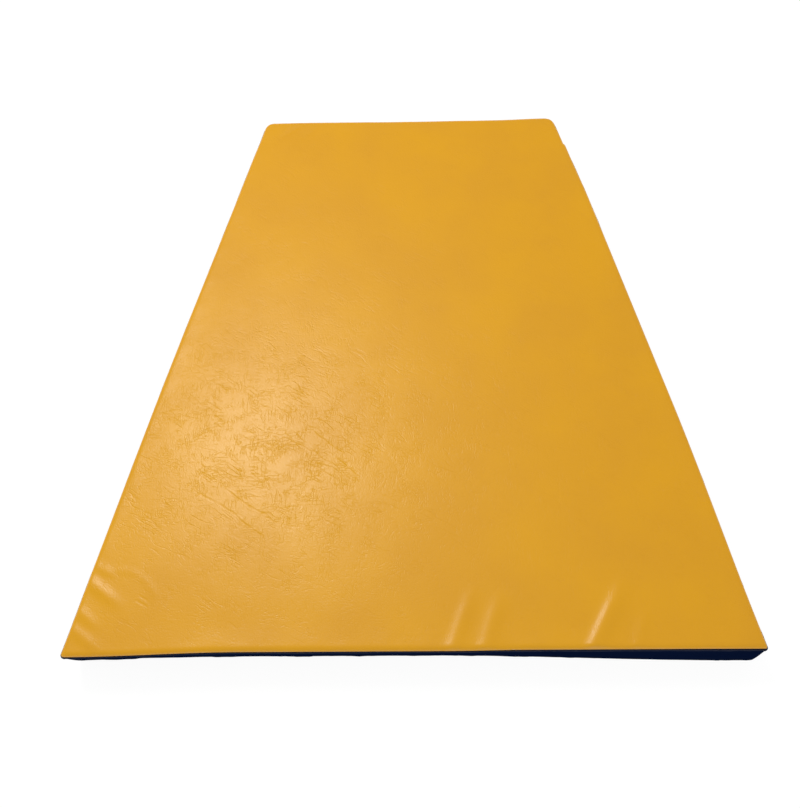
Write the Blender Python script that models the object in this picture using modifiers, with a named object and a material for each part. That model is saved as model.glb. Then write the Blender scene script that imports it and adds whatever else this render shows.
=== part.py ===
"""Trapezoid gymnastics mat: a two-layer foam core in a sewn vinyl cover that closes with a zip.

Metres, +Z up. The underside rests on z = 0, the wide end faces -Y and the narrow end +Y, and the zip
runs along the right-hand side wall. A cross-section is given by depth, measured inwards from the
finished outside of the side walls, and by height above the floor.
"""

import math

import bmesh
import bpy
from mathutils import Matrix, Vector

# Finished mat
WIDE_END = 1.000
NARROW_END = 0.550
LENGTH = 1.000
THICKNESS = 0.080
WIDE_CORNER_RADIUS = 0.006
NARROW_CORNER_RADIUS = 0.018
CORNER_STEPS = 6

# Vinyl cover
VINYL = 0.0010
CLEARANCE = 0.0003
SEAM_ALLOWANCE = 0.012
PANEL_FOLD = 0.0012
PANEL_FOLD_STEPS = 2
WELT_SET_BACK = 0.0004

# Foam core
FIRM_LAYER = 0.020
SEAM_EASE = 0.003

# Zip panel in the right-hand wall
ZIP_FROM_WIDE_END = 0.060
ZIP_FROM_NARROW_END = 0.070
HEM_CLEAR_OF_SLIDER = 0.0008
ZIP_HEM = 0.010
END_TAB_LAP = 0.012

# Zip chain
TAPE = 0.0006
TAPE_LAP = 0.008
CHAIN_WIDTH = 0.0100
CHAIN_DEPTH = 0.0030
CHAIN_CHANNEL = 0.0012
TAPE_GRIP = 0.0014
RAIL_WEB = 0.0006
TOOTH_PITCH = 0.0040
TOOTH_NECK = 0.0014
TOOTH_HEAD = 0.0022
TOOTH_HEAD_LENGTH = 0.0011
STOP_LENGTH = 0.0045

# Slider
SLIDER_LENGTH = 0.0145
SLIDER_PLATE = 0.0015
SLIDER_FLANGE = 0.0010
SLIDER_RUN = 0.0004
SLIDER_NOSE_RADIUS = 0.0040
SLIDER_TAIL_RADIUS = 0.0022
SLIDER_NECK_LENGTH = 0.0050
GROOVE_ROOM = 0.0010
BRIDGE_WIRE = 0.0009
BRIDGE_SINK = 0.0003
BRIDGE_STEPS = 10

# Pull
PULL_LENGTH = 0.032
PULL_TIP_WIDTH = 0.0090
PULL_TIP_HOLE_RADIUS = 0.0016
PULL_TIP_HOLE_WALL = 0.0022
PULL_PLATE = 0.0016
PULL_BAR = 0.0014
PULL_EYE_WEB = 0.0015
PULL_PLAY = 0.0009
ROUND_STEPS = 4

# Depths of the layers that lie behind one another in a seam
LAYER = VINYL + CLEARANCE
WALL_SHEET = VINYL / 2
HEM_SHEET = WALL_SHEET + LAYER
FLANGE_SHEET = HEM_SHEET + LAYER
BEHIND_WALL = LAYER
BEHIND_SEAM = 3 * LAYER
TAPE_FACE = 2 * LAYER
BEHIND_TAPE = TAPE_FACE + TAPE + CLEARANCE
CHAIN_FACE = TAPE_FACE + TAPE / 2 - CHAIN_DEPTH / 2

# Heights
WELT_HEIGHT = THICKNESS - WELT_SET_BACK - VINYL / 2
ZIP_HEIGHT = THICKNESS / 2
LAYER_SPLIT = THICKNESS - LAYER - FIRM_LAYER

# The chain's heights are counted from its middle
TOOTH_TIP = CHAIN_CHANNEL / 2
TAPE_EDGE = CHAIN_WIDTH / 2 - TAPE_GRIP
RAIL_EDGE = TAPE_EDGE - RAIL_WEB

SLIDER_HALF_WIDTH = CHAIN_WIDTH / 2 + SLIDER_RUN + SLIDER_FLANGE
SLIDER_OUTER_FACE = CHAIN_FACE - SLIDER_RUN - SLIDER_PLATE
SLIDER_INNER_FACE = CHAIN_FACE + CHAIN_DEPTH + SLIDER_RUN + SLIDER_PLATE
SLIDER_NECK = CHAIN_CHANNEL - 2 * CLEARANCE
ZIP_EDGE = SLIDER_HALF_WIDTH + HEM_CLEAR_OF_SLIDER

# The pull's bar turns between the slider's face and the bridge
BAR_SWEEP = math.hypot(PULL_BAR, PULL_PLATE) / 2
PULL_AXIS_HEIGHT = BAR_SWEEP + CLEARANCE
BRIDGE_RADIUS = BRIDGE_SINK + PULL_AXIS_HEIGHT + BAR_SWEEP + CLEARANCE + BRIDGE_WIRE
BRIDGE_REACH = math.hypot(BRIDGE_RADIUS + BRIDGE_WIRE, PULL_AXIS_HEIGHT)
PULL_EYE_WIDTH = 2 * (BRIDGE_WIRE + PULL_PLAY)

COLOURS = {
    "yellow_vinyl": ((0.72, 0.34, 0.028), 0.42, 0.0),
    "navy_vinyl": ((0.005, 0.012, 0.040), 0.45, 0.0),
    "soft_foam": ((0.78, 0.76, 0.66), 0.95, 0.0),
    "firm_foam": ((0.55, 0.58, 0.62), 0.85, 0.0),
    "zip_tape": ((0.006, 0.008, 0.016), 0.85, 0.0),
    "zip_teeth": ((0.010, 0.012, 0.020), 0.40, 0.0),
    "zip_metal": ((0.58, 0.57, 0.55), 0.30, 1.0),
}


def clear_scene():
    for obj in list(bpy.data.objects):
        bpy.data.objects.remove(obj, do_unlink=True)


def collection_of(name):
    collection = bpy.data.collections.new(name)
    bpy.context.scene.collection.children.link(collection)
    return collection


def material_of(name):
    """The Principled material of this name, made on its first use."""
    if name in bpy.data.materials:
        return bpy.data.materials[name]
    colour, roughness, metallic = COLOURS[name]
    material = bpy.data.materials.new(name)
    material.use_nodes = True
    shader = material.node_tree.nodes["Principled BSDF"]
    shader.inputs["Base Color"].default_value = (*colour, 1.0)
    shader.inputs["Roughness"].default_value = roughness
    shader.inputs["Metallic"].default_value = metallic
    return material


def add_object(name, data, material, parent=None):
    obj = bpy.data.objects.new(name, data)
    obj.parent = parent
    data.materials.append(material_of(material))
    bpy.data.collections["gymnastics_mat"].objects.link(obj)
    return obj


def add_cutter(name, data, parent=None):
    """A solid that only cuts: it is drawn as a wire and left out of renders."""
    obj = bpy.data.objects.new(name, data)
    obj.parent = parent
    obj.hide_render = True
    obj.display_type = "WIRE"
    bpy.data.collections["cutters"].objects.link(obj)
    return obj


def as_mesh(curve_object):
    """The same object as a welded mesh, which a Boolean can cut or join."""
    bpy.context.view_layer.update()
    evaluated = curve_object.evaluated_get(bpy.context.evaluated_depsgraph_get())
    mesh = bpy.data.meshes.new_from_object(evaluated)
    form = bmesh.new()
    form.from_mesh(mesh)
    bmesh.ops.remove_doubles(form, verts=form.verts, dist=1e-6)
    form.to_mesh(mesh)
    form.free()
    name, parent, world = curve_object.name, curve_object.parent, curve_object.matrix_world.copy()
    collection = curve_object.users_collection[0]
    bpy.data.objects.remove(curve_object, do_unlink=True)
    solid = bpy.data.objects.new(name, mesh)
    solid.parent = parent
    collection.objects.link(solid)
    solid.matrix_world = world
    return solid


def boolean(obj, other, operation, solver="EXACT"):
    modifier = obj.modifiers.new(f"{operation.lower()}_{other.name}", "BOOLEAN")
    modifier.operation = operation
    modifier.object = other
    modifier.solver = solver


def apply_modifiers(obj):
    bpy.context.view_layer.update()
    evaluated = obj.evaluated_get(bpy.context.evaluated_depsgraph_get())
    mesh = bpy.data.meshes.new_from_object(evaluated)
    obj.modifiers.clear()
    obj.data = mesh


# The plan of the mat


def side_corners():
    """Where the straight sides would meet, anticlockwise from the narrow end's right."""
    return [
        (Vector((NARROW_END / 2, LENGTH / 2)), NARROW_CORNER_RADIUS),
        (Vector((-NARROW_END / 2, LENGTH / 2)), NARROW_CORNER_RADIUS),
        (Vector((-WIDE_END / 2, -LENGTH / 2)), WIDE_CORNER_RADIUS),
        (Vector((WIDE_END / 2, -LENGTH / 2)), WIDE_CORNER_RADIUS),
    ]


def outward_of(start, end):
    """The outward normal of a side that is walked anticlockwise."""
    along = (end - start).normalized()
    return Vector((along.y, -along.x))


def rounded_outline():
    """The finished outside in plan, as (point, outward normal) along the four corner arcs."""
    corners = side_corners()
    outline = []
    for index, (corner, radius) in enumerate(corners):
        before = outward_of(corners[index - 1][0], corner)
        after = outward_of(corner, corners[(index + 1) % len(corners)][0])
        centre = corner - (before + after) * radius / (1 + before.dot(after))
        turn = before.angle(after)
        for step in range(CORNER_STEPS + 1):
            outward = Matrix.Rotation(turn * step / CORNER_STEPS, 2) @ before
            outline.append((centre + outward * radius, outward))
    return outline


def right_side():
    """The right-hand side's start at the wide end, its direction towards the narrow end, and length."""
    start = side_corners()[3][0]
    end = side_corners()[0][0]
    return start, (end - start).normalized(), (end - start).length


def on_right_side(distance):
    """(point, outward normal) this far along the right-hand side from the wide end's corner."""
    start, along, _ = right_side()
    return start + along * distance, Vector((along.y, -along.x))


def zip_panel_span():
    _, _, length = right_side()
    return ZIP_FROM_WIDE_END, length - ZIP_FROM_NARROW_END


# Sheets and solids that follow the plan


class PlanForm:
    """A mesh grown along the plan: a row of edges that is folded on, row by row."""

    def __init__(self, path, depth, height, closed):
        self.form = bmesh.new()
        self.outward = self.form.verts.layers.float_vector.new("outward")
        verts = []
        for point, outward in path:
            vert = self.form.verts.new((*(point - outward * depth), height))
            vert[self.outward] = (*outward, 0.0)
            verts.append(vert)
        pairs = list(zip(verts, verts[1:]))
        if closed:
            pairs.append((verts[-1], verts[0]))
        self.row = [self.form.edges.new(pair) for pair in pairs]
        self.depth, self.height = depth, height

    def cap(self):
        """Closes the present row with a flat face."""
        bmesh.ops.edgeloop_fill(self.form, edges=self.row)

    def fold_to(self, depth, height, row=None):
        """Extrudes the present row to a new depth and height. A shorter row folds only that stretch."""
        made = bmesh.ops.extrude_edge_only(self.form, edges=row or self.row)["geom"]
        moved = {item for item in made if isinstance(item, bmesh.types.BMVert)}
        edges = [item for item in made if isinstance(item, bmesh.types.BMEdge)]
        self.row = [edge for edge in edges if set(edge.verts) <= moved]
        for vert in moved:
            vert.co += vert[self.outward] * (self.depth - depth)
            vert.co.z += height - self.height
        self.depth, self.height = depth, height

    def finish(self, name):
        bmesh.ops.recalc_face_normals(self.form, faces=self.form.faces)
        mesh = bpy.data.meshes.new(name)
        self.form.to_mesh(mesh)
        self.form.free()
        return mesh


def give_thickness(obj):
    solidify = obj.modifiers.new("vinyl_thickness", "SOLIDIFY")
    solidify.thickness = VINYL
    solidify.offset = 0.0
    solidify.use_even_offset = True
    solidify.use_quality_normals = True


def flanged_panel(name, material, face_height, inwards):
    """A flat panel whose edge turns down, or up, into the seam. inwards is -1 for down, 1 for up."""
    sheet = PlanForm(rounded_outline(), FLANGE_SHEET, face_height, closed=True)
    sheet.cap()
    sheet.fold_to(FLANGE_SHEET, face_height + inwards * (SEAM_ALLOWANCE - VINYL / 2))
    panel = add_object(name, sheet.finish(name), material)
    fold = panel.modifiers.new("turned_edge", "BEVEL")
    fold.width = PANEL_FOLD
    fold.segments = PANEL_FOLD_STEPS
    fold.limit_method = "ANGLE"
    fold.angle_limit = math.radians(60)
    give_thickness(panel)
    return panel


def top_panel():
    return flanged_panel("top_panel", "yellow_vinyl", THICKNESS - VINYL / 2, -1)


def bottom_panel():
    return flanged_panel("bottom_panel", "navy_vinyl", VINYL / 2, 1)


def side_band():
    """One strip round both ends, the left side and the corners, its edges folded into the seams."""
    span_start, span_end = zip_panel_span()
    path = [on_right_side(span_end + CLEARANCE)]
    path += rounded_outline()
    path.append(on_right_side(span_start - CLEARANCE))
    sheet = PlanForm(path, HEM_SHEET, THICKNESS - SEAM_ALLOWANCE, closed=False)
    sheet.fold_to(HEM_SHEET, WELT_HEIGHT)
    sheet.fold_to(WALL_SHEET, WELT_HEIGHT)
    sheet.fold_to(WALL_SHEET, THICKNESS - WELT_HEIGHT)
    sheet.fold_to(HEM_SHEET, THICKNESS - WELT_HEIGHT)
    sheet.fold_to(HEM_SHEET, SEAM_ALLOWANCE)
    band = add_object("side_band", sheet.finish("side_band"), "navy_vinyl")
    give_thickness(band)
    return band


def zip_strip(name, side):
    """The strip of wall above the zip (side 1) or below it (side -1), hemmed along the zip."""
    span_start, span_end = zip_panel_span()
    middle = THICKNESS / 2
    seam_edge = middle + side * (middle - SEAM_ALLOWANCE)
    welt = middle + side * (WELT_HEIGHT - middle)
    zip_edge = ZIP_HEIGHT + side * (ZIP_EDGE + VINYL / 2)
    hem_end = ZIP_HEIGHT + side * (ZIP_EDGE + ZIP_HEM)
    trim = END_TAB_LAP + 2 * CLEARANCE
    stations = (span_start, span_start + trim, span_end - trim, span_end)
    path = [on_right_side(distance) for distance in stations]
    sheet = PlanForm(path, HEM_SHEET, seam_edge, closed=False)
    sheet.fold_to(HEM_SHEET, welt)
    sheet.fold_to(WALL_SHEET, welt)
    sheet.fold_to(WALL_SHEET, zip_edge)
    longest = max(sheet.row, key=lambda edge: edge.calc_length())
    sheet.fold_to(HEM_SHEET, zip_edge, row=[longest])
    sheet.fold_to(HEM_SHEET, hem_end)
    strip = add_object(name, sheet.finish(name), "navy_vinyl")
    give_thickness(strip)
    return strip


def core_layer(name, material, rows):
    """A foam layer with flat faces: rows of (depth, height) from its lower face to its upper one."""
    solid = PlanForm(rounded_outline(), *rows[0], closed=True)
    solid.cap()
    for depth, height in rows[1:]:
        solid.fold_to(depth, height)
    solid.cap()
    return add_object(name, solid.finish(name), material)


def foam_core(zip_frame):
    """Soft foam below and a firmer sheet above, eased where the seam allowances and folds press in."""
    lower_seam = SEAM_ALLOWANCE + CLEARANCE
    upper_seam = THICKNESS - lower_seam
    base = core_layer(
        "core_base",
        "soft_foam",
        [
            (BEHIND_SEAM + PANEL_FOLD, LAYER),
            (BEHIND_SEAM, LAYER + PANEL_FOLD),
            (BEHIND_SEAM, lower_seam),
            (BEHIND_WALL, lower_seam + SEAM_EASE),
            (BEHIND_WALL, LAYER_SPLIT),
        ],
    )
    top = core_layer(
        "core_top",
        "firm_foam",
        [
            (BEHIND_WALL, LAYER_SPLIT + CLEARANCE),
            (BEHIND_WALL, upper_seam - SEAM_EASE),
            (BEHIND_SEAM, upper_seam),
            (BEHIND_SEAM, THICKNESS - LAYER - PANEL_FOLD),
            (BEHIND_SEAM + PANEL_FOLD, THICKNESS - LAYER),
        ],
    )
    for cutter in zip_pockets(zip_frame):
        boolean(base, cutter, "DIFFERENCE")
        boolean(top, cutter, "DIFFERENCE")


# The zip, in its own frame: X along the zip towards the narrow end, Y inwards, Z up from its middle


def add_zip_frame():
    span_start, span_end = zip_panel_span()
    middle, _ = on_right_side((span_start + span_end) / 2)
    _, along, _ = right_side()
    frame = bpy.data.objects.new("zip_frame", None)
    frame.location = (*middle, ZIP_HEIGHT)
    frame.rotation_euler = (0.0, 0.0, math.atan2(along.y, along.x))
    bpy.data.collections["gymnastics_mat"].objects.link(frame)
    return frame


def zip_panel_length():
    span_start, span_end = zip_panel_span()
    return span_end - span_start


def chain_span():
    """Where the chain starts and ends along the zip, between its stops and the end tabs."""
    reach = zip_panel_length() / 2 - END_TAB_LAP - 2 * CLEARANCE
    return -reach + STOP_LENGTH + CLEARANCE, reach - STOP_LENGTH - CLEARANCE


def slider_rest():
    """The slider's middle when the zip is shut: its nose is against the top stops."""
    return chain_span()[1] - SLIDER_LENGTH / 2


def box_between(name, low, high):
    """A box mesh from its lowest to its highest corner."""
    low, high = Vector(low), Vector(high)
    form = bmesh.new()
    bmesh.ops.create_cube(form, size=1.0)
    bmesh.ops.scale(form, vec=high - low, verts=form.verts)
    bmesh.ops.translate(form, vec=(low + high) / 2, verts=form.verts)
    mesh = bpy.data.meshes.new(name)
    form.to_mesh(mesh)
    form.free()
    return mesh


def plate(name, outlines, face, back, material, parent):
    """A flat piece cut to outlines of (x, z) points, the first outside the others, from depth face to back."""
    curve = bpy.data.curves.new(name, "CURVE")
    curve.dimensions = "2D"
    curve.fill_mode = "BOTH"
    curve.extrude = (back - face) / 2
    for outline in outlines:
        spline = curve.splines.new("POLY")
        spline.points.add(len(outline) - 1)
        for spline_point, (x, z) in zip(spline.points, outline):
            spline_point.co = (x, z, 0.0, 1.0)
        spline.use_cyclic_u = True
    obj = add_object(name, curve, material, parent)
    obj.location = (0.0, (face + back) / 2, 0.0)
    obj.rotation_euler = (math.pi / 2, 0.0, 0.0)
    return obj


def rectangle(x_low, x_high, z_low, z_high):
    return [(x_low, z_low), (x_high, z_low), (x_high, z_high), (x_low, z_high)]


def arc(centre_x, centre_z, radius, start_degrees, end_degrees, steps=ROUND_STEPS):
    points = []
    for step in range(steps + 1):
        angle = math.radians(start_degrees + (end_degrees - start_degrees) * step / steps)
        points.append((centre_x + radius * math.cos(angle), centre_z + radius * math.sin(angle)))
    return points


def tapered_plate(x_low, x_high, half_low, half_high, radius_low, radius_high):
    """An outline that is half_low to each side at x_low and half_high at x_high, with round corners."""
    points = arc(x_high - radius_high, half_high - radius_high, radius_high, 0, 90)
    points += arc(x_low + radius_low, half_low - radius_low, radius_low, 90, 180)
    points += arc(x_low + radius_low, radius_low - half_low, radius_low, 180, 270)
    points += arc(x_high - radius_high, radius_high - half_high, radius_high, 270, 360)
    return points


def zip_pockets(zip_frame):
    """What the zip presses into the foam: a shallow pocket behind its hems and a groove behind the chain."""
    reach = zip_panel_length() / 2 + END_TAB_LAP + 2 * CLEARANCE
    outside = -THICKNESS
    pocket_top = THICKNESS / 2 - SEAM_ALLOWANCE
    pocket = box_between(
        "zip_pocket", (-reach, outside, -pocket_top), (reach, BEHIND_TAPE, pocket_top)
    )
    groove_top = SLIDER_HALF_WIDTH + GROOVE_ROOM
    groove_depth = SLIDER_INNER_FACE + GROOVE_ROOM
    groove = box_between(
        "zip_groove", (-reach, outside, -groove_top), (reach, groove_depth, groove_top)
    )
    return [add_cutter(mesh.name, mesh, zip_frame) for mesh in (pocket, groove)]


def end_tab(name, end, zip_frame):
    """A vinyl patch behind each end of the zip, which joins the zip panel to the side band."""
    middle = end * zip_panel_length() / 2
    half_height = THICKNESS / 2 - SEAM_ALLOWANCE - CLEARANCE
    outline = rectangle(middle - END_TAB_LAP, middle + END_TAB_LAP, -half_height, half_height)
    return plate(name, [outline], LAYER, LAYER + VINYL, "navy_vinyl", zip_frame)


def zip_tape(name, side, zip_frame):
    """The woven tape behind the hem: it carries a row of teeth on its inner edge."""
    reach = zip_panel_length() / 2 - END_TAB_LAP + TAPE_LAP
    inner = side * (TAPE_EDGE + CLEARANCE)
    outer = side * (ZIP_EDGE + ZIP_HEM)
    outline = rectangle(-reach, reach, min(inner, outer), max(inner, outer))
    return plate(name, [outline], TAPE_FACE, TAPE_FACE + TAPE, "zip_tape", zip_frame)


def tape_slot(name, side, zip_frame):
    """Cuts the slot by which a tooth or a stop grips the edge of its tape."""
    reach = zip_panel_length()
    inner = side * TAPE_EDGE
    outer = side * CHAIN_WIDTH
    mesh = box_between(
        name,
        (-reach, TAPE_FACE - CLEARANCE, min(inner, outer)),
        (reach, TAPE_FACE + TAPE + CLEARANCE, max(inner, outer)),
    )
    return add_cutter(name, mesh, zip_frame)


def tooth_outline(middle):
    """One tooth's outline from its root out round its wider head, as (x, distance from the chain's middle)."""
    neck = TOOTH_NECK / 2
    head = TOOTH_HEAD / 2
    shoulder = TOOTH_TIP + TOOTH_HEAD_LENGTH
    return [
        (middle - neck, RAIL_EDGE),
        (middle - head, shoulder),
        (middle - neck, TOOTH_TIP),
        (middle + neck, TOOTH_TIP),
        (middle + head, shoulder),
        (middle + neck, RAIL_EDGE),
    ]


def tooth_row(name, side, slot, zip_frame):
    """One row of moulded teeth on a common rail, the other row's half a pitch further on."""
    start, end = chain_span()
    rail = CHAIN_WIDTH / 2
    outline = [(end, rail), (start, rail), (start, RAIL_EDGE)]
    first = start + TOOTH_PITCH * (0.5 if side > 0 else 1.0)
    count = int((end - first - TOOTH_NECK / 2) / TOOTH_PITCH) + 1
    for index in range(count):
        outline += tooth_outline(first + index * TOOTH_PITCH)
    outline.append((end, RAIL_EDGE))
    outline = [(x, side * distance) for x, distance in outline]
    row = as_mesh(
        plate(name, [outline], CHAIN_FACE, CHAIN_FACE + CHAIN_DEPTH, "zip_teeth", zip_frame)
    )
    boolean(row, slot, "DIFFERENCE", solver="MANIFOLD")
    return row


def zip_stop(name, x_low, x_high, z_low, z_high, slots, zip_frame):
    """A metal stop clamped on the tape edge at an end of the chain."""
    outline = rectangle(x_low, x_high, z_low, z_high)
    stop = as_mesh(
        plate(name, [outline], CHAIN_FACE, CHAIN_FACE + CHAIN_DEPTH, "zip_metal", zip_frame)
    )
    for slot in slots:
        boolean(stop, slot, "DIFFERENCE")
    return stop


def zip_stops(upper_slot, lower_slot, zip_frame):
    start, end = chain_span()
    half = CHAIN_WIDTH / 2
    low, high = end + CLEARANCE, end + CLEARANCE + STOP_LENGTH
    zip_stop("zip_top_stop_upper", low, high, TOOTH_TIP, half, [upper_slot], zip_frame)
    zip_stop("zip_top_stop_lower", low, high, -half, -TOOTH_TIP, [lower_slot], zip_frame)
    low, high = start - CLEARANCE - STOP_LENGTH, start - CLEARANCE
    zip_stop("zip_bottom_stop", low, high, -half, half, [upper_slot, lower_slot], zip_frame)


def bridge_arch(parent):
    """The loop cast on the slider's face, in which the pull hangs."""
    curve = bpy.data.curves.new("bridge_arch", "CURVE")
    curve.dimensions = "3D"
    curve.bevel_depth = BRIDGE_WIRE
    curve.bevel_resolution = 2
    curve.use_fill_caps = True
    spline = curve.splines.new("POLY")
    feet = SLIDER_OUTER_FACE + BRIDGE_SINK
    points = [(BRIDGE_RADIUS, feet + SLIDER_PLATE / 2)]
    for x, height in arc(0.0, 0.0, BRIDGE_RADIUS, 0, 180, BRIDGE_STEPS):
        points.append((x, feet - height))
    points.append((-BRIDGE_RADIUS, feet + SLIDER_PLATE / 2))
    spline.points.add(len(points) - 1)
    for spline_point, (x, depth) in zip(spline.points, points):
        spline_point.co = (x, depth, 0.0, 1.0)
    return as_mesh(add_object("bridge_arch", curve, "zip_metal", parent))


def zip_slider(zip_frame):
    """Cast slider: two flanged wings joined by a neck that runs in the chain's channel, and a bridge."""
    carrier = bpy.data.objects.new("slider_carrier", None)
    carrier.parent = zip_frame
    carrier.location = (slider_rest(), 0.0, 0.0)
    bpy.data.collections["gymnastics_mat"].objects.link(carrier)
    half_length, half_width = SLIDER_LENGTH / 2, SLIDER_HALF_WIDTH
    wing = tapered_plate(
        -half_length, half_length, half_width, half_width, SLIDER_TAIL_RADIUS, SLIDER_NOSE_RADIUS
    )
    inner_plate = SLIDER_INNER_FACE - SLIDER_PLATE
    outer_plate = SLIDER_OUTER_FACE + SLIDER_PLATE
    slider = as_mesh(
        plate("zip_slider", [wing], SLIDER_OUTER_FACE, outer_plate, "zip_metal", carrier)
    )
    tape_run = TAPE / 2 + SLIDER_RUN
    tape_middle = TAPE_FACE + TAPE / 2
    rail_low = -half_length + SLIDER_TAIL_RADIUS
    rail_high = half_length - SLIDER_NOSE_RADIUS
    rail = (half_width - SLIDER_FLANGE, half_width)
    neck_end = half_length - SLIDER_NOSE_RADIUS / 2
    neck = rectangle(neck_end - SLIDER_NECK_LENGTH, neck_end, -SLIDER_NECK / 2, SLIDER_NECK / 2)
    sink = SLIDER_PLATE / 2
    pieces = [
        ("inner_wing", wing, inner_plate, SLIDER_INNER_FACE),
        ("neck", neck, outer_plate - sink, inner_plate + sink),
    ]
    for label, low, high in (("upper", *rail), ("lower", -rail[1], -rail[0])):
        outline = rectangle(rail_low, rail_high, low, high)
        pieces.append((f"outer_{label}_rail", outline, outer_plate - sink, tape_middle - tape_run))
        pieces.append((f"inner_{label}_rail", outline, tape_middle + tape_run, inner_plate + sink))
    joined = [
        as_mesh(plate(name, [outline], face, back, "zip_metal", carrier))
        for name, outline, face, back in pieces
    ]
    joined.append(bridge_arch(carrier))
    for piece in joined:
        boolean(slider, piece, "UNION")
    apply_modifiers(slider)
    for piece in joined:
        bpy.data.objects.remove(piece, do_unlink=True)
    return carrier


def zip_pull(carrier):
    """The pull: its bar lies under the bridge, on the hinge's axis, and its plate points to the wide end."""
    hinge = bpy.data.objects.new("pull_hinge", None)
    hinge.parent = carrier
    hinge.location = (0.0, SLIDER_OUTER_FACE - PULL_AXIS_HEIGHT, 0.0)
    bpy.data.collections["gymnastics_mat"].objects.link(hinge)
    bar = PULL_BAR / 2
    tip = PULL_TIP_WIDTH / 2
    head = PULL_EYE_WIDTH / 2 + PULL_EYE_WEB
    body = tapered_plate(bar - PULL_LENGTH, bar, tip, head, tip, bar)
    eye_end = -BRIDGE_REACH - PULL_PLAY
    eye = rectangle(eye_end, -bar, -PULL_EYE_WIDTH / 2, PULL_EYE_WIDTH / 2)
    hole_middle = bar - PULL_LENGTH + PULL_TIP_HOLE_WALL + PULL_TIP_HOLE_RADIUS
    hole = arc(hole_middle, 0.0, PULL_TIP_HOLE_RADIUS, 0, 360, 4 * ROUND_STEPS)[:-1]
    return plate("zip_pull", [body, eye, hole], -PULL_PLATE / 2, PULL_PLATE / 2, "zip_metal", hinge)


def build():
    clear_scene()
    collection_of("gymnastics_mat")
    collection_of("cutters")
    zip_frame = add_zip_frame()
    foam_core(zip_frame)
    bottom_panel()
    side_band()
    zip_strip("zip_strip_upper", 1)
    zip_strip("zip_strip_lower", -1)
    top_panel()
    end_tab("zip_end_tab_wide", -1, zip_frame)
    end_tab("zip_end_tab_narrow", 1, zip_frame)
    zip_tape("zip_tape_upper", 1, zip_frame)
    zip_tape("zip_tape_lower", -1, zip_frame)
    upper_slot = tape_slot("upper_tape_slot", 1, zip_frame)
    lower_slot = tape_slot("lower_tape_slot", -1, zip_frame)
    tooth_row("zip_teeth_upper", 1, upper_slot, zip_frame)
    tooth_row("zip_teeth_lower", -1, lower_slot, zip_frame)
    zip_stops(upper_slot, lower_slot, zip_frame)
    carrier = zip_slider(zip_frame)
    zip_pull(carrier)


build()
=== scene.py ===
"""Trapezoid gymnastics mat: the finished look of its vinyl cover, foam core and zip.

Metres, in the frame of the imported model: the underside rests on z = 0, the wide end faces -Y and the
zip runs along the right-hand wall. Depth is measured inwards from the finished outside of the walls.
"""

import math

import bmesh
import bpy
import numpy as np
from mathutils import Matrix, Vector


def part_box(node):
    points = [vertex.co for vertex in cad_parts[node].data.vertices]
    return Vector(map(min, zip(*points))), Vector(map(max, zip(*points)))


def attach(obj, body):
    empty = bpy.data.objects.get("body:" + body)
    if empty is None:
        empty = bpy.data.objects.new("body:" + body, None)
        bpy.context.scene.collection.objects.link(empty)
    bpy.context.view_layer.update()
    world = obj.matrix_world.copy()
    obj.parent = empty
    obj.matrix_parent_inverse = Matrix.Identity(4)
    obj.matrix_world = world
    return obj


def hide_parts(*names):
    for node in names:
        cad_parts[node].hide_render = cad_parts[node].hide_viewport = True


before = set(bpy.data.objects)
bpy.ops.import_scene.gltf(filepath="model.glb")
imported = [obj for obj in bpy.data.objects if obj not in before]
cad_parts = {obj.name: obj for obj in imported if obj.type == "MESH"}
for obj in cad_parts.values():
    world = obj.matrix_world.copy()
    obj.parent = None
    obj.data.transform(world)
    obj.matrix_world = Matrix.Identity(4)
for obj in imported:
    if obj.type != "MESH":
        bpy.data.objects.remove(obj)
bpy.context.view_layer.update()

# The plan that the cover is cut to, before its corners are rounded
WIDE_END = 1.000
NARROW_END = 0.550
LENGTH = 1.000
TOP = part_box("top_panel")[1].z
# Front left, front right, back right and back left: how far from its corner each rounding starts
CORNER_REACHES = (0.0050, 0.0032, 0.0176, 0.0160)

# Seams, as heights of the groove between a panel and the wall
SEAM_HEIGHT = 0.0745
FOOT_SEAM_HEIGHT = 0.0022
EDGE_ROLL = 0.0078
EDGE_ROLL_POWER = 2.1
TURN_IN = 0.004

# Zip panel in the right-hand wall
ZIP_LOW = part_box("zip_strip_lower")[1].z
ZIP_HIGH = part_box("zip_strip_upper")[0].z
ZIP_HEIGHT = (ZIP_LOW + ZIP_HIGH) / 2
ZIP_FROM_WIDE_END = 0.060
ZIP_FROM_NARROW_END = 0.070
HEM = 0.008
STITCH_FROM_EDGE = 0.0030
STITCH_LENGTH = 0.0034
STITCH_PITCH = 0.0042
THREAD = 0.00065
TAPE_SLIT = 0.0005

# Foam
FOAM_IN_FROM_WALL = 0.0045
FOAM_EASE = 0.004
LAYER_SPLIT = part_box("core_top")[0].z
FOAM_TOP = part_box("core_top")[1].z - 0.0022
FOAM_FOOT = 0.0018
# Pocket in the foam that the back of the slider runs in: its depth, half-height and slope
POCKET_DEPTH = 0.0040
POCKET_HALF = 0.0085
POCKET_SLOPE = 0.0012
# Rings that fill a layer's top and underside, as shares of its outline
CAP_RINGS = (0.97, 0.85, 0.6, 0.3, 0.02)

# Photograph's view
PICTURE_WIDTH = 800
CAMERA_PLACE = Vector((0.0188, -0.7333, 1.3316))
CAMERA_DOWN = math.radians(63.468)
CAMERA_TURN = math.radians(-3.202)
CAMERA_ROLL = math.radians(-3.576)
FOCAL_PIXELS = 870.4
SENSOR_MM = 36.0


# Small helpers


def linear(hex_colour):
    """A colour written as sRGB hex, as the linear RGBA that shaders take."""
    parts = [int(hex_colour[i : i + 2], 16) / 255 for i in (1, 3, 5)]
    return (*(c / 12.92 if c <= 0.04045 else ((c + 0.055) / 1.055) ** 2.4 for c in parts), 1.0)


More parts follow.
